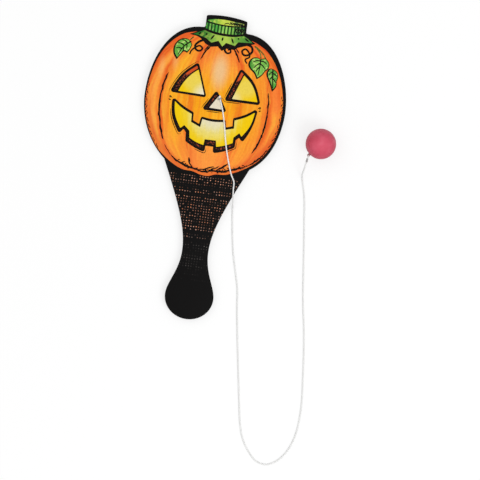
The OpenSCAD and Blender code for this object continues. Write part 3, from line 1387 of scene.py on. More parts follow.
@dataclass
class Elastic:
    """The elastic cord, its two knots and its loop through the ball's eye."""

    diameter: float = 0.0012
    tube_radius: float = 0.00056
    face_height: float = 0.00585
    low_height: float = 0.00065
    start: tuple[float, float] = (0.003563, 0.000476)
    staple_turn: float = 20.0
    eye: tuple[float, float, float] = (0.08065092, -0.03568839, 0.0123)
    tie_turn: float = 259.0
    tie_length: float = 0.0059
    knot_start: float = 0.00295
    knot_length: float = 0.0028
    loop_radius: float = 0.00045
    loop_step: float = 0.12
    stopper_middle: float = 0.00115
    stopper_reach: tuple[float, float, float] = (0.00076, 0.00076, 0.00022)
    stopper_strand: float = 0.00036
    stopper_end: float = 0.0012
    stopper_bend: float = 0.0005
    stopper_dip: float = -0.0001
    stopper_tail: float = 0.00042
    tie_middle: float = 0.0016
    tie_reach: tuple[float, float, float] = (0.0009, 0.0005, 0.0004)
    tie_strand: float = 0.0004
    tie_tail: float = 0.00036
    tie_tail_way: tuple[float, float, float] = (0.0013, 0.0008, 0.0004)
    tie_lead_in: float = 0.0001
    tie_lead_out: float = 0.00013
    tie_lead_radius: float = 0.0005
    turn_start: float = 0.00042
    turn_radius: float = 0.00054
    turn_steps: int = 40
    lead_radius: float = 0.00055
    knot_steps: int = 60
    sides: int = 14
    rings: int = 7
    smooth_angle: float = 50.0
    blend_start: tuple[float, float, float] = (0.004, 0.0, 0.0)
    blend_end: tuple[float, float, float] = (0.05834, 0.01902, 0.0)

    def tie_frame(self, along: float, across: float, up: float) -> Vector:
        """A point near the ball's eye.

        Args:
            along: Distance from the eye along the tie.
            across: Distance to the side of the tie.
            up: Height above the eye.

        Returns:
            The point.
        """
        a = math.radians(self.tie_turn)
        way = Vector((math.cos(a), math.sin(a), 0))
        side = Vector((-math.sin(a), math.cos(a), 0))
        return Vector(self.eye) + along * way + across * side + Vector((0, 0, up))

    def staple_frame(self, along: float, across: float, up: float) -> Vector:
        """A point near the cord's start.

        Args:
            along: Distance behind the start.
            across: Distance to the side of the cord.
            up: Height above the cord.

        Returns:
            The point.
        """
        a = math.radians(self.staple_turn)
        way = Vector((-math.sin(a), math.cos(a), 0))
        side = Vector((math.cos(a), math.sin(a), 0))
        return Vector((*self.start, self.face_height)) + along * way + across * side + Vector((0, 0, up))

    def route(self) -> list[Vector]:
        """Lays the cord from the staple over the face, down to the table and up to the tie.

        Returns:
            The points that the cord is laid through.
        """
        face, low, high = self.face_height, self.low_height, self.eye[2]
        points = [Vector((*self.start, face))]
        points += [Vector((x, y, face)) for x, y in FACE_ROUTE]
        points += [Vector((x, y, low + share * (face - low))) for x, y, share in DROP_ROUTE]
        points += [Vector((x, y, low)) for x, y in TABLE_ROUTE]
        points += [Vector((x, y, low + share * (high - low))) for x, y, share in RISE_ROUTE]
        points.append(self.tie_frame(self.tie_length, 0, 0))
        return points

    def line(self) -> list[Vector]:
        """Joins the route's points smoothly.

        Returns:
            The cord's middle line, which never goes below the table.
        """
        points = self.route()
        ways = [(points[1] - points[0]).normalized()]
        ways += [chord_way(*points[i - 1 : i + 2]) for i in range(1, len(points) - 1)]
        ways.append((points[-1] - points[-2]).normalized())
        line = []
        for i in range(len(points) - 1):
            for k in range(self.rings):
                p = hermite(points[i], points[i + 1], ways[i], ways[i + 1], k / self.rings)
                line.append(Vector((p.x, p.y, max(p.z, self.low_height))))
        return line + [points[-1]]

    def wrapped(self, name: str, runs: Sequence[Run], closed: bool) -> Object:
        """Tubes whose points know how far along and round the tube they are, for the thread's wrap.

        Args:
            name: The piece's name.
            runs: For each tube its points, each with the tube's radius there.
            closed: Whether each tube runs back to its first point.

        Returns:
            The new piece.
        """
        obj = Bench.tube(name, runs, closed, self.sides // 2)
        along = [0.0]
        for run in runs:
            steps = [(b - a).length for (a, _), (b, _) in zip(run, run[1:])]
            along += [along[-1], *(along[-1] + np.cumsum(steps))]
        turn = np.arange(self.sides) * math.tau / self.sides
        rings = np.empty((len(along) - 1, self.sides, 3))
        rings[:, :, 0] = np.cos(turn)
        rings[:, :, 1] = np.sin(turn)
        rings[:, :, 2] = np.array(along[1:])[:, None]
        rings = rings.reshape(-1, 3)
        places = np.array([v.co for v in obj.data.vertices])
        caps = len(places) - len(rings)
        nearest = [int(((places[caps:] - p) ** 2).sum(1).argmin()) for p in places[:caps]]
        wrap = np.concatenate([rings[np.array(nearest, int)], rings])
        values = obj.data.attributes.new(WRAP, "FLOAT_VECTOR", "POINT")
        values.data.foreach_set("vector", wrap.astype(np.float32).ravel())
        Bench.tidy(obj)
        Bench.smooth(obj, self.smooth_angle)
        return obj

    def cord(self) -> Object:
        """Makes the long free run of the elastic.

        Returns:
            The piece.
        """
        cord = self.wrapped("elastic_run", [[(p, self.tube_radius) for p in self.line()]], False)
        ElasticThread().dress(cord)
        return cord

    def overhand(
        self,
        place: Callable[[float, float, float], Vector],
        middle: float,
        reach: tuple[float, float, float],
        radius: float,
    ) -> Run:
        """Run of a tight overhand knot.

        Args:
            place: Turns distances along, across and above the cord into a point.
            middle: Where along the cord the knot sits.
            reach: The knot's size along, across and above the cord.
            radius: Radius of the strand.

        Returns:
            The knot's points, each with the strand's radius.
        """
        run = []
        for i in range(self.knot_steps):
            a = math.tau * i / self.knot_steps
            along = middle + reach[0] * (math.cos(a) - 2 * math.cos(2 * a)) / 3
            across = reach[1] * (math.sin(a) + 2 * math.sin(2 * a)) / 3
            run.append((place(along, across, -reach[2] * math.sin(3 * a)), radius))
        return run

    def stopper(self) -> Object:
        """Ties an overhand knot that keeps the elastic's end behind the staple, with a short tail.

        Returns:
            The piece.
        """
        place, end = self.staple_frame, self.stopper_end
        strand = self.overhand(place, self.stopper_middle, self.stopper_reach, self.stopper_strand)
        knot = self.wrapped("knot_ring", [strand], True)
        tail = []
        for s in (0, 0.3, 0.6, 0.9, 1):
            spot = place(end + end * s, self.stopper_bend * s * s, self.stopper_dip * s)
            tail.append((spot, self.stopper_tail))
        lead = [(place(end * s, 0, 0), self.lead_radius) for s in (-0.05, 0.4, 0.8)]
        ends = self.wrapped("knot_ends", [tail, lead], False)
        knot = Bench.join("elastic_stopper_knot", [knot, ends])
        ElasticThread().dress(knot)
        return knot

    def tie_knot(self) -> Object:
        """Ties the knot that closes the tie: a turn round both strands, drawn tight, and a short tail.

        Returns:
            The piece.
        """
        place = self.tie_frame
        start, end = self.knot_start, self.knot_start + self.knot_length
        middle = start + self.tie_middle
        turn = []
        for i in range(self.turn_steps):
            a = math.tau * i / self.turn_steps
            across, up = self.turn_radius * math.cos(a), self.turn_radius * math.sin(a)
            turn.append((place(start + self.turn_start, across, up), self.tie_strand))
        strand = self.overhand(place, middle, self.tie_reach, self.tie_strand)
        ring = self.wrapped("tie_ring", [turn, strand], True)
        stations = (
            (start + self.tie_lead_in, self.tie_lead_radius),
            (middle, self.tube_radius),
            (end + self.tie_lead_out, self.lead_radius),
        )
        lead = [(place(along, 0, 0), radius) for along, radius in stations]
        along, across, up = self.tie_tail_way
        tail = [(place(middle + along * s, across * s, up * s), self.tie_tail) for s in (0.2, 0.6, 1.0)]
        ends = self.wrapped("tie_ends", [lead, tail], False)
        knot = Bench.join("elastic_tie_knot", [ring, ends])
        # The knot's elastic is a darker grey than the rest of the cord.
        ElasticThread("darkened thread-wrapped elastic", white="#b9b7b5", shade="#8b8987").dress(knot)
        return knot

    def loop(self) -> Object:
        """Leads the strand up through the ball's eye and back to the knot.

        Returns:
            The piece.
        """
        upper = ((2.92, 0.5), (1.75, 1.22), (0.85, 1.86), (0.3, 1.98), (0.03, 1.6), (0, 1.15), (0, 0.6))
        lower = tuple((along, -up) for along, up in reversed(upper))
        line = drawn(soft(*upper, (0, 0), *lower), closed=False, step=self.loop_step)
        run = [(self.tie_frame(p.x * MM, 0, p.y * MM), self.loop_radius) for p in line]
        loop = self.wrapped("elastic_eye_loop", [run], False)
        # The loop's elastic is a little greyer than the cord.
        ElasticThread("handled thread-wrapped elastic", white="#dddbd9", shade="#c6c4c2").dress(loop)
        return loop

    def build(self) -> None:
        cord = self.cord()
        stopper = ridden(self.stopper(), "paddle", "elastic", "stopper_knot")
        knot = ridden(self.tie_knot(), "tether_end", "elastic", "tie_knot")
        loop = ridden(self.loop(), "loop", "elastic", "tie_loop")
        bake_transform(cord)
        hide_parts("elastic_cord")
        line = self.line()


# The board and its printed face


@dataclass
class Board:
    """The wooden board and the sheet of printed paper on it."""

    thickness: float = 0.005
    paper: float = 0.0001
    back_edge: float = 0.0006
    face_edge: float = 0.00015
    paper_edge: float = 0.00004
    staple_reach: float = 0.012
    edge_steps: int = 3
    flat_facing: float = 0.9
    smooth_angle: float = 40.0

    def rounded(self, obj: Object, height: float, radius: float) -> None:
        """Rounds the rim of the board or the paper at one height.

        Args:
            obj: The board or the paper.
            height: Height of the rim, in metres.
            radius: Radius of the rounding, in metres.
        """
        Bench.select_edges(obj, height, self.staple_reach)
        bpy.ops.mesh.bevel(offset=radius, segments=self.edge_steps, profile=0.5, clamp_overlap=True)
        Bench.close()

    def wood(self) -> Object:
        """Makes the board: bare plywood behind, black paint round the edge.

        Returns:
            The piece.
        """
        board = Bench.copy_of("paddle_board", "board")
        self.rounded(board, 0.0, self.back_edge)
        self.rounded(board, self.thickness, self.face_edge)
        board.data.materials.append(BirchPly().material())
        board.data.materials.append(EdgePaint().material())
        for face in board.data.polygons:
            face.material_index = 0 if abs(face.normal.z) > self.flat_facing else 1
        Bench.smooth(board, self.smooth_angle)
        return board

    def sheet(self) -> Object:
        """Makes the paper, pressed thin so that the inks fit over it.

        Returns:
            The piece.
        """
        sheet = Bench.copy_of("face_print", "printed_paper")
        low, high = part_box("face_print")
        Bench.edit(sheet)
        squeeze = self.paper / (high.z - low.z)
        bpy.ops.transform.resize(value=(1, 1, squeeze), center_override=(0, 0, low.z))
        Bench.close()
        self.rounded(sheet, low.z + self.paper, self.paper_edge)
        GroundBlack().dress(sheet)
        Bench.smooth(sheet, self.smooth_angle)
        return sheet

    def build(self) -> None:
        """Makes the board and the paper, and dresses the staple."""
        ridden(self.wood(), "paddle", "board_wood", "paddle_board")
        ridden(self.sheet(), "paddle", "printed_face", "face_print")
        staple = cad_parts["staple"]
        StapleSteel().dress(staple)
        LOG.info("piece %s keeps the CAD's own shape", staple.name)


@dataclass
class Lantern:
    """The pumpkin lantern printed on the blade, as thin layers of ink in millimetres."""

    paper_top: float = 5.1
    film: float = 0.015
    flat: float = 0.02
    stroke_lift: float = 0.001
    line: float = 1.1
    bleed: float = 1.0
    wall: float = 0.8
    hug: float = 0.85
    carved_corner: float = 1.7
    green_corner: float = 0.4
    small_corner: float = 0.3
    tooth_side: float = 0.4
    tooth_middle: float = 13.0
    collar_shade: float = 3.0
    leaf_bleed: float = 0.5
    leaf_shade: tuple[float, float] = (0.3, 0.25)
    leaf_edge: float = 0.4
    furrow_line: float = 1.3
    curl_line: float = 1.95
    vein_line: float = 1.15
    second_line: float = 0.65
    tip_line: float = 1.0
    hair_line: float = 0.85
    hair_row: tuple[float, float, float] = (-24.0, 31.5, 1.05)
    hair_scatter: float = 0.8
    hair_sway: float = 2.6
    hair_lean: float = 0.03
    hair_rise: float = 0.5
    hair_fan: float = 0.7
    foot_level: float = -59.5
    foot_curve: float = 0.0088
    tick_line: float = 0.7
    tick_step: float = 1.9
    tick_depth: float = 0.5
    tick_reach: float = 0.9
    tick_lean: float = 0.5
    tick_scatter: float = 0.5
    tick_top: float = 8.0
    tick_low: float = -47.0
    crease_line: float = 1.4
    collar_line: float = 0.8
    stem_foot_line: float = 1.5
    hatch_line: float = 0.75

    def level(self, count: int) -> tuple[float, float]:
        """Underside and top of a layer of ink, counted from the paper."""
        return self.paper_top + count * self.film, self.paper_top + (count + 1) * self.film

    def printed(self, obj: Object, finish: Finish) -> None:
        """Finishes a layer and hands it to the paddle."""
        finish.dress(obj)
        ridden(obj, "paddle", "printed_face")

    def layer(
        self, name: str, outlines: Sequence[Sequence[Mark]], count: int, finish: Finish, corner: float = 0.0
    ) -> None:
        """Lays a layer of ink.

        Args:
            name: The piece's name.
            outlines: Closed outlines.
            count: The layer's place, counted from the paper.
            finish: The ink.
            corner: Radius of its corners, in millimetres.
        """
        lines = [drawn(marks, True, corner) for marks in outlines]
        self.printed(Bench.slab(name, lines, *self.level(count)), finish)

    def strokes(self, name: str, strokes: Sequence[Stroke], count: int, finish: Finish = LineBlack()) -> None:
        """Lays strokes of ink on top of a layer.

        Args:
            name: The piece's name.
            strokes: The strokes.
            count: The layer's place, counted from the paper.
            finish: The ink.
        """
        height = self.level(count)[0] + self.stroke_lift
        self.printed(Bench.ink_lines(name, strokes, height, self.flat), finish)

    # Outlines of the figure

    def field(self) -> list[Mark]:
        """The orange body of the pumpkin."""
        return (
            soft((22, 50.4), (29.6, 47.4), (36.2, 43.3), (42.4, 36.4), (48.9, 25.2), (52.7, 13.5))
            + soft((54.8, 1.6), (54.6, -10.7), (53, -22), (47.2, -36.8), (39.6, -47))
            + sharp((33, -52.2))
            + soft((24, -57.2), (15.5, -60.3), (8, -61), (2, -63), (-4.5, -62.6), (-10.5, -60.8))
            + soft((-19, -60.2), (-28, -56.3))
            + sharp((-33.6, -52.6))
            + soft((-42, -45.3), (-51, -30), (-55.8, -12), (-56.2, 0), (-54.6, 12), (-50.4, 27))
            + soft((-44.7, 37.3), (-36.8, 45.7), (-31, 49.4), (-25, 51.2), (0, 53))
        )

    def eyes(self) -> list[list[Mark]]:
        """Draws the outer lines of the two carved eyes.

        Returns:
            Lines of the left and the right eye.
        """
        left = sharp((-17.8, 25.8)) + soft((-29.2, 15.2)) + sharp((-36, 1.6), (-8.8, 0.8))
        right = sharp((17.6, 25.3), (8.4, 0.2), (35.2, 0.2)) + soft((28.4, 16))
        return [left, right]

    def nose(self) -> list[Mark]:
        """Outer line of the carved nose."""
        return sharp((0.1, 5.2), (-8.5, -9.3), (9, -9.2))

    def grin_top(self) -> list[Mark]:
        """Upper line of the carved grin, from left to right, with two teeth."""
        return (
            sharp((-33.5, -4.5))
            + soft((-26, -9.8))
            + sharp((-17, -14), (-16.8, -20.4), (-9.8, -23.6), (-8.8, -16.9))
            + soft((0.5, -17.9))
            + sharp((9.4, -17), (10.6, -23.4), (17.6, -21.2), (17.2, -14.6))
            + soft((26.3, -10.6))
            + sharp((34, -5.1))
        )

    def grin(self) -> list[Mark]:
        """Draws the outer line of the carved grin.

        Returns:
            The line, from the upper left tip over the teeth and back below.
        """
        low = (
            soft((31.7, -18.2), (29.1, -25))
            + sharp((25.8, -30.8), (23, -27.6), (19.6, -31), (19.6, -36.8))
            + soft((12.5, -40.5))
            + sharp((4.3, -43), (4.2, -38), (-4.1, -38), (-4.2, -43))
            + soft((-12, -40.4))
            + sharp((-18.8, -36.8), (-19.3, -30), (-22.6, -26), (-25.6, -30.4))
            + soft((-28.6, -25.8), (-32.1, -18.2))
        )
        return self.grin_top() + low

    def openings(self) -> list[list[Mark]]:
        """Draws the lit openings inside the carved walls.

        Returns:
            Lines of the left eye, the right eye, the nose and the grin.
        """
        left = sharp((-16.7, 21.4)) + soft((-21.8, 17), (-26.6, 10.9)) + sharp((-30.8, 2.2), (-9.6, 1.8))
        right = sharp((20.5, 21.5), (13.2, 1.4), (34, 1.4)) + soft((27.5, 15.1))
        nose = sharp((2, 1.9), (-4.2, -8), (7.4, -8.3))
        low = (
            soft((30.6, -18.5))
            + sharp((24.8, -28), (22.8, -25.3), (18.5, -29.5), (18.4, -34))
            + soft((12, -36.9))
            + sharp((5.6, -38.8), (4.8, -33.8), (-4.4, -33.9), (-4.8, -38.7))
            + soft((-11.5, -36.8))
            + sharp((-16.8, -34.2), (-17.6, -28.6), (-22.3, -24.6), (-25.2, -27.4))
            + soft((-30.6, -17.4))
        )
        teeth = []
        for m in self.grin_top()[1:-1]:
            aside = math.copysign(self.tooth_side, (abs(m.x) - self.tooth_middle) * m.x)
            teeth.append(Mark(m.x + aside, m.y - 1, m.sharp))
        return [left, right, nose, sharp((-32.4, -6.2)) + teeth + sharp((33.2, -7)) + low]

    def collar(self, drop: float) -> list[Mark]:
        """Draws the leafy collar under the stem.

        Args:
            drop: How far its points are let down, for its shade.

        Returns:
            The collar's line.
        """
        spread, deep = drop / 2, 1.4 * drop
        return (
            sharp((-16.2, 54.2), (-26.8 - spread, 49))
            + soft((-19.5, 48.6 - drop * 0.4))
            + sharp((-14.2, 47.2 - deep), (-9.4, 44 - drop), (-4, 46.2 - deep), (-0.2, 41.8 - drop))
            + sharp((2.6, 45.3 - deep), (10, 43.8 - drop), (12.4, 47.2 - deep))
            + sharp((25 + spread, 48))
            + soft((20.5, 51.2))
            + sharp((16, 53.6))
            + soft((9.5, 51.9), (0, 51.4), (-9, 52.3))
        )

    def stem_band(self) -> list[Mark]:
        """The ribbed side of the cut stem."""
        return (
            sharp((-15.3, 60.3))
            + soft((-6, 59.3), (5, 59))
            + sharp((16.2, 59.9), (16, 54.8))
            + soft((9.5, 53.4), (0, 53), (-9, 53.8))
            + sharp((-15.6, 55.5))
        )

    def stem_top(self) -> list[Mark]:
        """The pale cut top of the stem."""
        back = soft((-14.6, 62), (-10.5, 63.4), (-2, 64.1), (7, 63.5), (15.2, 62))
        return back + soft((13, 60.8), (4.5, 60), (-5.5, 60.2), (-12.3, 61))

    def leaves(self) -> list[list[Mark]]:
        """Draws the three leaves.

        Returns:
            Lines of the left, the middle and the right leaf.
        """
        left = (
            sharp((-35.2, 28.4))
            + soft((-38, 32.6), (-38.4, 37), (-36, 42.2), (-31.8, 44.8), (-28, 44.6))
            + sharp((-24.8, 41))
            + soft((-25.9, 37.4))
            + sharp((-27.8, 34.4))
            + soft((-30.3, 35.2), (-33.2, 31.6))
        )
        middle = (
            sharp((31.2, 20.8))
            + soft((28.4, 25.2))
            + sharp((25.6, 27.4))
            + soft((23.4, 31), (25, 35.6), (28.6, 37.2))
            + sharp((32, 36.2))
            + soft((36, 37), (39.2, 33.6), (39, 29.8))
            + sharp((36.8, 27.6))
            + soft((34.4, 23.6))
        )
        right = (
            sharp((44.8, 12.6))
            + soft((43, 17))
            + sharp((41.2, 20.4))
            + soft((39, 25.8), (40.4, 29.4))
            + sharp((43, 29.6))
            + soft((46.2, 27.8), (47.7, 24))
            + sharp((47, 20.6))
            + soft((47.2, 16.6))
        )
        return [left, middle, right]

    def veins(self) -> list[Stroke]:
        """Draws the middle and side veins of the leaves.

        Returns:
            The strokes.
        """
        lines = [
            ((-25.6, 43.4), (-30.4, 39.4), (-35, 31.4)), ((-28.4, 41.4), (-30.6, 43.2), (-33, 43.8)),
            ((-30.8, 39), (-33.6, 40.8), (-36.2, 40.8)), ((-32.6, 36.4), (-35, 37.2), (-37, 36.4)),
            ((-29, 40.6), (-28.6, 38.8), (-28.8, 37)), ((-31.6, 38), (-31.2, 35.8), (-31.6, 34)),
            ((32, 36.2), (32.1, 31), (31.4, 23)), ((32, 34.8), (29, 34.8), (26.2, 33.4)),
            ((32, 33), (29.4, 31.2), (27.4, 28.6)), ((32.1, 30), (30.4, 28), (29.6, 26)),
            ((32.2, 34.8), (35, 34.6), (37.4, 32.8)), ((32.1, 32.6), (34.6, 31), (36.4, 28.8)),
            ((43, 29.4), (43.6, 22), (44.8, 14.4)), ((43.2, 26.8), (41.6, 26.4), (40.4, 24.8)),
            ((43.4, 24), (42.4, 22.6), (42, 21)), ((43.3, 26), (45.4, 25.6), (46.6, 23.8)),
            ((43.8, 21.8), (45.4, 20.8), (46.4, 18.8)),
        ]
        return [Stroke(soft(*pairs), self.vein_line, Tip.TAIL) for pairs in lines]

    def ribs(self) -> list[Stroke]:
        """Draws broken lines in the furrows and round the rim, and the tendrils.

        Returns:
            The strokes.
        """
        furrows = [
            (((-40.6, 16), (-43.2, 7), (-44.2, -2)), 1.0), (((-44.4, 1), (-44.5, -11), (-42.8, -24)), 1.2),
            (((-42.9, -21), (-40.6, -31), (-37.6, -38.5)), 1.0), (((42, 10), (43.1, 0), (43, -9)), 0.7),
            (((43, -6), (42.6, -16), (40.6, -27)), 1.1), (((41, -24), (38.5, -33), (34.6, -40.5)), 1.1),
            (((-9.2, 42.4), (-13.4, 36.4), (-16.4, 29.6)), 1.0), (((-11, 42.2), (-14.6, 37)), 0.6),
            (((8.6, 42.4), (12.6, 37), (15.2, 31)), 1.0), (((11, 42.6), (14, 38.4)), 0.7),
            (((-36, -42), (-32.5, -47.2), (-28.6, -51)), 0.35),
            (((-29.8, -50.4), (-25, -53.6), (-19, -56.8)), 0.9),
            (((-22, -54.8), (-14, -57.8), (-7, -58.6)), 1.2),
            (((-9, -58), (-3, -60), (4, -58.8)), 0.85), (((2, -59), (9, -58.2), (16, -58)), 1.1),
            (((13, -58.4), (22, -55.2), (30.6, -52)), 1.2), (((-15.4, -50), (-14.4, -54), (-11, -57.6)), 0.9),
            (((7.6, -57.8), (12.6, -54.8), (17.6, -50.6)), 1.1), (((27, -54), (34, -50), (41.4, -42.6)), 0.5),
            (((47, -35.4), (42.4, -42.6), (35, -49.8)), 0.6), (((-3, -58.4), (1.6, -56.6), (6, -55)), 0.8),
            (((1, -58.6), (6, -56.8), (10.4, -53.6)), 0.7),
        ]
        strokes = []
        for pairs, weight in furrows:
            strokes += sketched(pairs, self.furrow_line * weight)
        curls = [
            ((-15.1, 46), (-19.7, 43.6), (-22.1, 40), (-20.7, 37.1), (-17.9, 36.6), (-16, 38.8),
             (-18.1, 40.7), (-21.6, 39), (-24.8, 35.6), (-25.6, 32.8)),
            ((2.6, 42.4), (2.2, 39.6), (4.4, 37.6), (7, 38.6), (6.6, 40.6), (4.6, 40.2)),
            ((20, 46.4), (23.4, 45.2), (24.4, 41.6), (21.4, 38.2), (17.4, 38.2), (16.2, 40.8), (18.4, 42.8),
             (21.8, 40.4), (22.8, 37), (19.6, 34.2), (21.4, 31.4)),
        ]
        return strokes + [Stroke(soft(*pairs), self.curl_line, Tip.TAIL) for pairs in curls]

    def stalks(self) -> list[Stroke]:
        """Draws the stalks of the three leaves.

        Returns:
            The strokes.
        """
        lines = [
            (((25.6, 46.1), (29.4, 43), (31.2, 40.4), (32.1, 36.8)), 1.0),
            (((26.3, 46), (31.4, 42.6), (34.4, 39.6), (36.4, 36.4)), 1.0),
            (((-23.9, 47.3), (-25.4, 46), (-26.8, 44.2)), 0.9),
        ]
        return [Stroke(soft(*pairs), width) for pairs, width in lines]

    def foot_hairs(self) -> list[Stroke]:
        """Draws loose pen hairs over the pumpkin's foot, which lean towards its middle.

        Returns:
            The strokes.
        """
        strokes = []
        for i, x in enumerate(np.arange(*self.hair_row)):
            luck, spread = uneven(i + 1, i + 3)
            start = Vector((x, self.foot_level + self.foot_curve * x * x + self.hair_scatter * spread))
            sway = self.hair_sway * luck - self.hair_lean * x
            end = start + Vector((sway, self.hair_rise + self.hair_fan * spread))
            strokes.append(Stroke(soft(tuple(start), tuple(end)), self.hair_line, Tip.BRUSH))
        return strokes

    def rim_ticks(self) -> list[Stroke]:
        """Draws short pen ticks along the pumpkin's edge, on its left and right sides.

        Returns:
            The strokes.
        """
        edge = drawn(self.field(), step=self.tick_step)
        strokes = []
        for i, (p, q) in enumerate(zip(edge, edge[1:])):
            if not self.tick_low <= p.y <= self.tick_top:
                continue
            luck, spread = uneven(i + 1, i + 3)
            along = (q - p).normalized()
            inward = Vector((along.y, -along.x))
            middle = p + inward * (self.tick_depth + self.tick_scatter * spread)
            tick = (along + inward * self.tick_lean * luck) * (self.tick_reach + self.tick_scatter * spread)
            ends = soft(tuple(middle - tick), tuple(middle + tick))
            strokes.append(Stroke(ends, self.tick_line, Tip.BRUSH))
        return strokes

    def doubles(self) -> list[Stroke]:
        """Draws thin second lines that hug the carving, and pen ticks at the tips of the grin.

        Returns:
            The strokes.
        """
        left, right = self.eyes()
        nose, grin = self.nose(), self.grin()
        stretches = (
            (left, -0.03, 0.36), (right, 0.12, 0.27), (right, 0.27, 0.46), (nose, 0.12, 0.3),
            (nose, 0.36, 0.58), (grin, 0.56, 0.62), (grin, 0.715, 0.77), (grin, 0.87, 0.96),
        )
        strokes = []
        for marks, start, end in stretches:
            line = drawn(inset(marks, -self.bleed - self.hug), corner=self.bleed + self.hug)
            picked = range(round(start * len(line)), round(end * len(line)), 2)
            strokes.append(Stroke(soft(*[tuple(line[i]) for i in picked]), self.second_line, Tip.BRUSH))
        for side in (-1, 1):
            for tick in (((34.8, -4.1), (36.9, -2.7), (36.5, -4.5)), ((35.8, -5.9), (37.8, -5.1))):
                strokes.append(Stroke(soft(*[(side * x, y) for x, y in tick]), self.tip_line, Tip.BRUSH))
        return strokes

    def collar_lines(self) -> list[Stroke]:
        """Draws the creases of the collar, and the dark foot of the stem.

        Returns:
            The strokes.
        """
        creases = [
            ((-18.6, 51.6), (-20.6, 50)), ((-13.6, 51.6), (-14.8, 50)), ((-7.6, 51), (-10.4, 46.8)),
            ((-0.6, 50), (-1, 46.8)), ((6.4, 50.2), (8.4, 46)), ((11.6, 51), (12.4, 49.6)),
            ((17, 51.4), (20.6, 49)),
        ]
        strokes = [Stroke(soft(*pairs), self.crease_line, Tip.BRUSH) for pairs in creases]
        strokes.append(Stroke(self.collar(0), self.collar_line, closed=True))
        foot = ((-16.4, 55), (-9, 53), (0, 52.2), (9.5, 52.6), (16.4, 54.2))
        return strokes + [Stroke(soft(*foot), self.stem_foot_line)]

    def stem_lines(self) -> list[Stroke]:
        """Draws the dark rim of the stem, and pen hatching on its shaded side.

        Returns:
            The strokes.
        """
        rim = ((-15.2, 61), (-6, 59.7), (5, 59.4), (16, 60.6))
        hatches = [
            ((6.8, 62), (9.6, 61.4), (12.4, 61.8), (14.4, 61.4)), ((-1, 60.4), (1.6, 61.6), (3, 61.4)),
            ((9, 57.4), (14.6, 56.6)),
        ]
        for x in range(3, 13, 2):
            hatches += [((x, 60.7), (x + 2.4, 62.9 - 0.06 * x)), ((x + 2.2, 60.9), (x + 0.6, 63 - 0.06 * x))]
        for x in range(8, 15, 2):
            hatches += [((x, 58.8), (x + 2, 54.5)), ((x + 1.8, 58.8), (x - 0.4, 54.5))]
        return [Stroke(soft(*rim), self.line)] + [Stroke(soft(*pairs), self.hatch_line) for pairs in hatches]

    def build(self) -> None:
        """Lays the inks from the paper up."""
        line = LineBlack()
        self.layer("pumpkin_orange", [self.field()], 0, PumpkinOrange())
        self.layer("stem_side", [self.stem_band()], 0, STEM_SIDE, self.green_corner)
        self.layer("stem_cut_top", [self.stem_top()], 0, STEM_TOP)
        self.strokes("pumpkin_lines", self.ribs() + self.rim_ticks() + self.foot_hairs() + self.doubles(), 1)
        self.strokes("leaf_stalks", self.stalks(), 1, STALKS)
        self.strokes("stem_lines", self.stem_lines(), 1)
        carved = [*self.eyes(), self.nose(), self.grin()]
        leaves = self.leaves()
        shadows = [self.collar(self.collar_shade)]
        aside, down = self.leaf_shade
        for marks in leaves:
            shadows.append([Mark(m.x - aside, m.y - down, m.sharp) for m in inset(marks, -self.leaf_bleed)])
        walls = [inset(marks, self.wall) for marks in carved]
        greens = [inset(marks, self.leaf_edge) for marks in leaves]
        outlines = [inset(marks, -self.bleed) for marks in carved]
        self.layer("carved_outlines", outlines, 1, line, self.carved_corner)
        self.layer("leaf_outlines", shadows, 1, line, self.green_corner)
        self.layer("carved_walls", walls, 2, CarvedWall(), self.small_corner)
        self.layer("collar_green", [self.collar(0)], 2, COLLAR, self.small_corner)
        self.layer("leaves_green", greens, 2, LEAVES, self.small_corner)
        self.layer("carved_openings", self.openings(), 3, LanternGlow(), self.small_corner)
        rims = [Stroke(inset(marks, -self.line / 2), self.line, closed=True) for marks in self.openings()]
        self.strokes("carved_rims", rims, 4)
        self.strokes("collar_and_leaf_lines", self.collar_lines() + self.veins(), 3)


# The ball


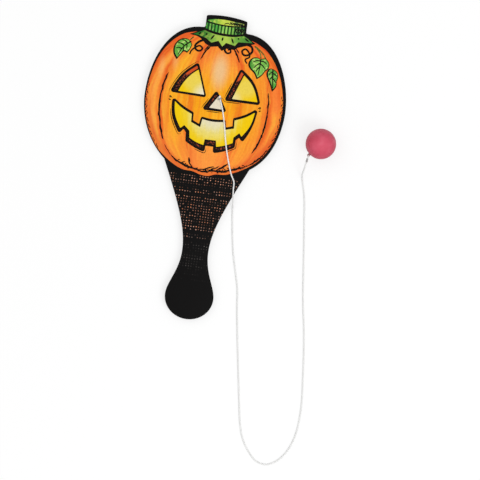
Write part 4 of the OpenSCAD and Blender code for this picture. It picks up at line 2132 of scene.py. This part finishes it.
@dataclass
class Ball:
    """The rubber ball with its moulded eye."""

    diameter: float = 0.0246
    centre: tuple[float, float, float] = (0.0892, -0.0255, 0.0123)
    nub_turn: float = 230.0
    neck_radius: float = 0.0009
    fillet: float = 0.0006
    eye_radius: float = 0.0012
    eye_reach: float = 0.001
    hole_radius: float = 0.00053
    seam_half: float = 0.00016
    seam_rise: float = 0.00007
    seam_reach: float = 0.98
    nub_facing: float = 0.97
    neck_length: float = 0.0002
    ball_steps: int = 56
    eye_steps: int = 12
    spin_steps: int = 96
    drill_sides: int = 32
    smooth_angle: float = 45.0

    def profile(self) -> list[Pair]:
        """Draws half the ball's outline, from its far pole to the eye's end.

        Returns:
            Points, each as its distance along the nub and its radius.
        """
        r = self.diameter / 2
        join = math.asin((self.neck_radius + self.fillet) / r)
        points = []
        for i in range(self.ball_steps + 1):
            a = math.pi - (math.pi - join) * i / self.ball_steps
            points.append((r * math.cos(a), r * math.sin(a)))
        middle = r + self.eye_reach
        meet = math.asin(min(1.0, self.neck_radius / self.eye_radius))
        points.append((middle - self.eye_radius * math.cos(meet) - self.neck_length, self.neck_radius))
        for i in range(self.eye_steps + 1):
            a = math.pi - meet - (math.pi - meet) * i / self.eye_steps
            points.append((middle + self.eye_radius * math.cos(a), self.eye_radius * math.sin(a)))
        points[0] = (-r, 0.0)
        points[-1] = (middle + self.eye_radius, 0.0)
        return points

    def build(self) -> None:
        """Turns the ball on its nub's axis, raises its seam and bores the eye."""
        points = self.profile()
        bpy.ops.object.select_all(action="DESELECT")
        bpy.ops.mesh.primitive_circle_add(vertices=len(points), radius=self.diameter, fill_type="NOTHING")
        ball = bpy.context.object
        ball.name = "rubber_ball"
        places = [(along, out, 0.0) for along, out in points]
        ball.data.vertices.foreach_set("co", np.array(places, np.float32).ravel())
        closing = {0, len(points) - 1}
        Bench.mark_edges(ball, lambda edge: set(edge.vertices) == closing)
        bpy.ops.mesh.delete(type="EDGE")
        bpy.ops.mesh.select_all(action="SELECT")
        bpy.ops.mesh.spin(steps=self.spin_steps, angle=math.tau, center=(0, 0, 0), axis=(1, 0, 0))
        Bench.close()
        ball.rotation_euler = (0, 0, math.radians(self.nub_turn))
        ball.location = self.centre
        Bench.settle(ball)
        Bench.tidy(ball)
        self.seam(ball)
        self.bore(ball)
        Bench.smooth(ball, self.smooth_angle)
        BallRubber().dress(ball)
        ridden(ball, "ball", "ball_rubber", "ball")

    def seam(self, ball: Object) -> None:
        """Raises a fine parting line where the two halves of the mould met.

        Args:
            ball: The ball.
        """
        z = self.centre[2]
        for height in (z - self.seam_half, z, z + self.seam_half):
            Bench.edit(ball)
            bpy.ops.mesh.bisect(plane_co=(0, 0, height), plane_no=(0, 0, 1))
            Bench.close()
        reach = self.diameter / 2 * self.seam_reach
        for vertex in ball.data.vertices:
            off = vertex.co - Vector(self.centre)
            near_nub = off.normalized().dot(self.nub_way()) > self.nub_facing
            if abs(off.z) < LEVEL and off.length > reach and not near_nub:
                vertex.co = Vector(self.centre) + off * ((self.diameter / 2 + self.seam_rise) / off.length)

    def nub_way(self) -> Vector:
        """Direction of the eye from the ball's centre."""
        a = math.radians(self.nub_turn)
        return Vector((math.cos(a), math.sin(a), 0))

    def bore(self, ball: Object) -> None:
        """Bores the eye for the elastic's loop.

        Args:
            ball: The ball.
        """
        eye = Vector(self.centre) + self.nub_way() * (self.diameter / 2 + self.eye_reach)
        bpy.ops.object.select_all(action="DESELECT")
        depth = 4 * self.eye_radius
        bpy.ops.mesh.primitive_cylinder_add(
            vertices=self.drill_sides, radius=self.hole_radius, depth=depth, location=eye
        )
        drill = bpy.context.object
        Bench.settle(drill)
        cut = ball.modifiers.new("eye", "BOOLEAN")
        cut.operation = "DIFFERENCE"
        cut.object = drill
        cut.solver = "EXACT"
        Bench.pick(ball)
        bpy.ops.object.modifier_apply(modifier=cut.name)
        bpy.data.objects.remove(drill)


def main() -> None:
    """Builds the stage and every piece."""
    logging.basicConfig(level=logging.INFO, format="%(name)s: %(message)s")
    Studio().build()
    for maker in (Elastic(), Board(), Lantern(), Ball()):
        maker.build()
    bpy.ops.object.select_all(action="DESELECT")
    bpy.context.view_layer.update()


if __name__ == "__main__":
    main()
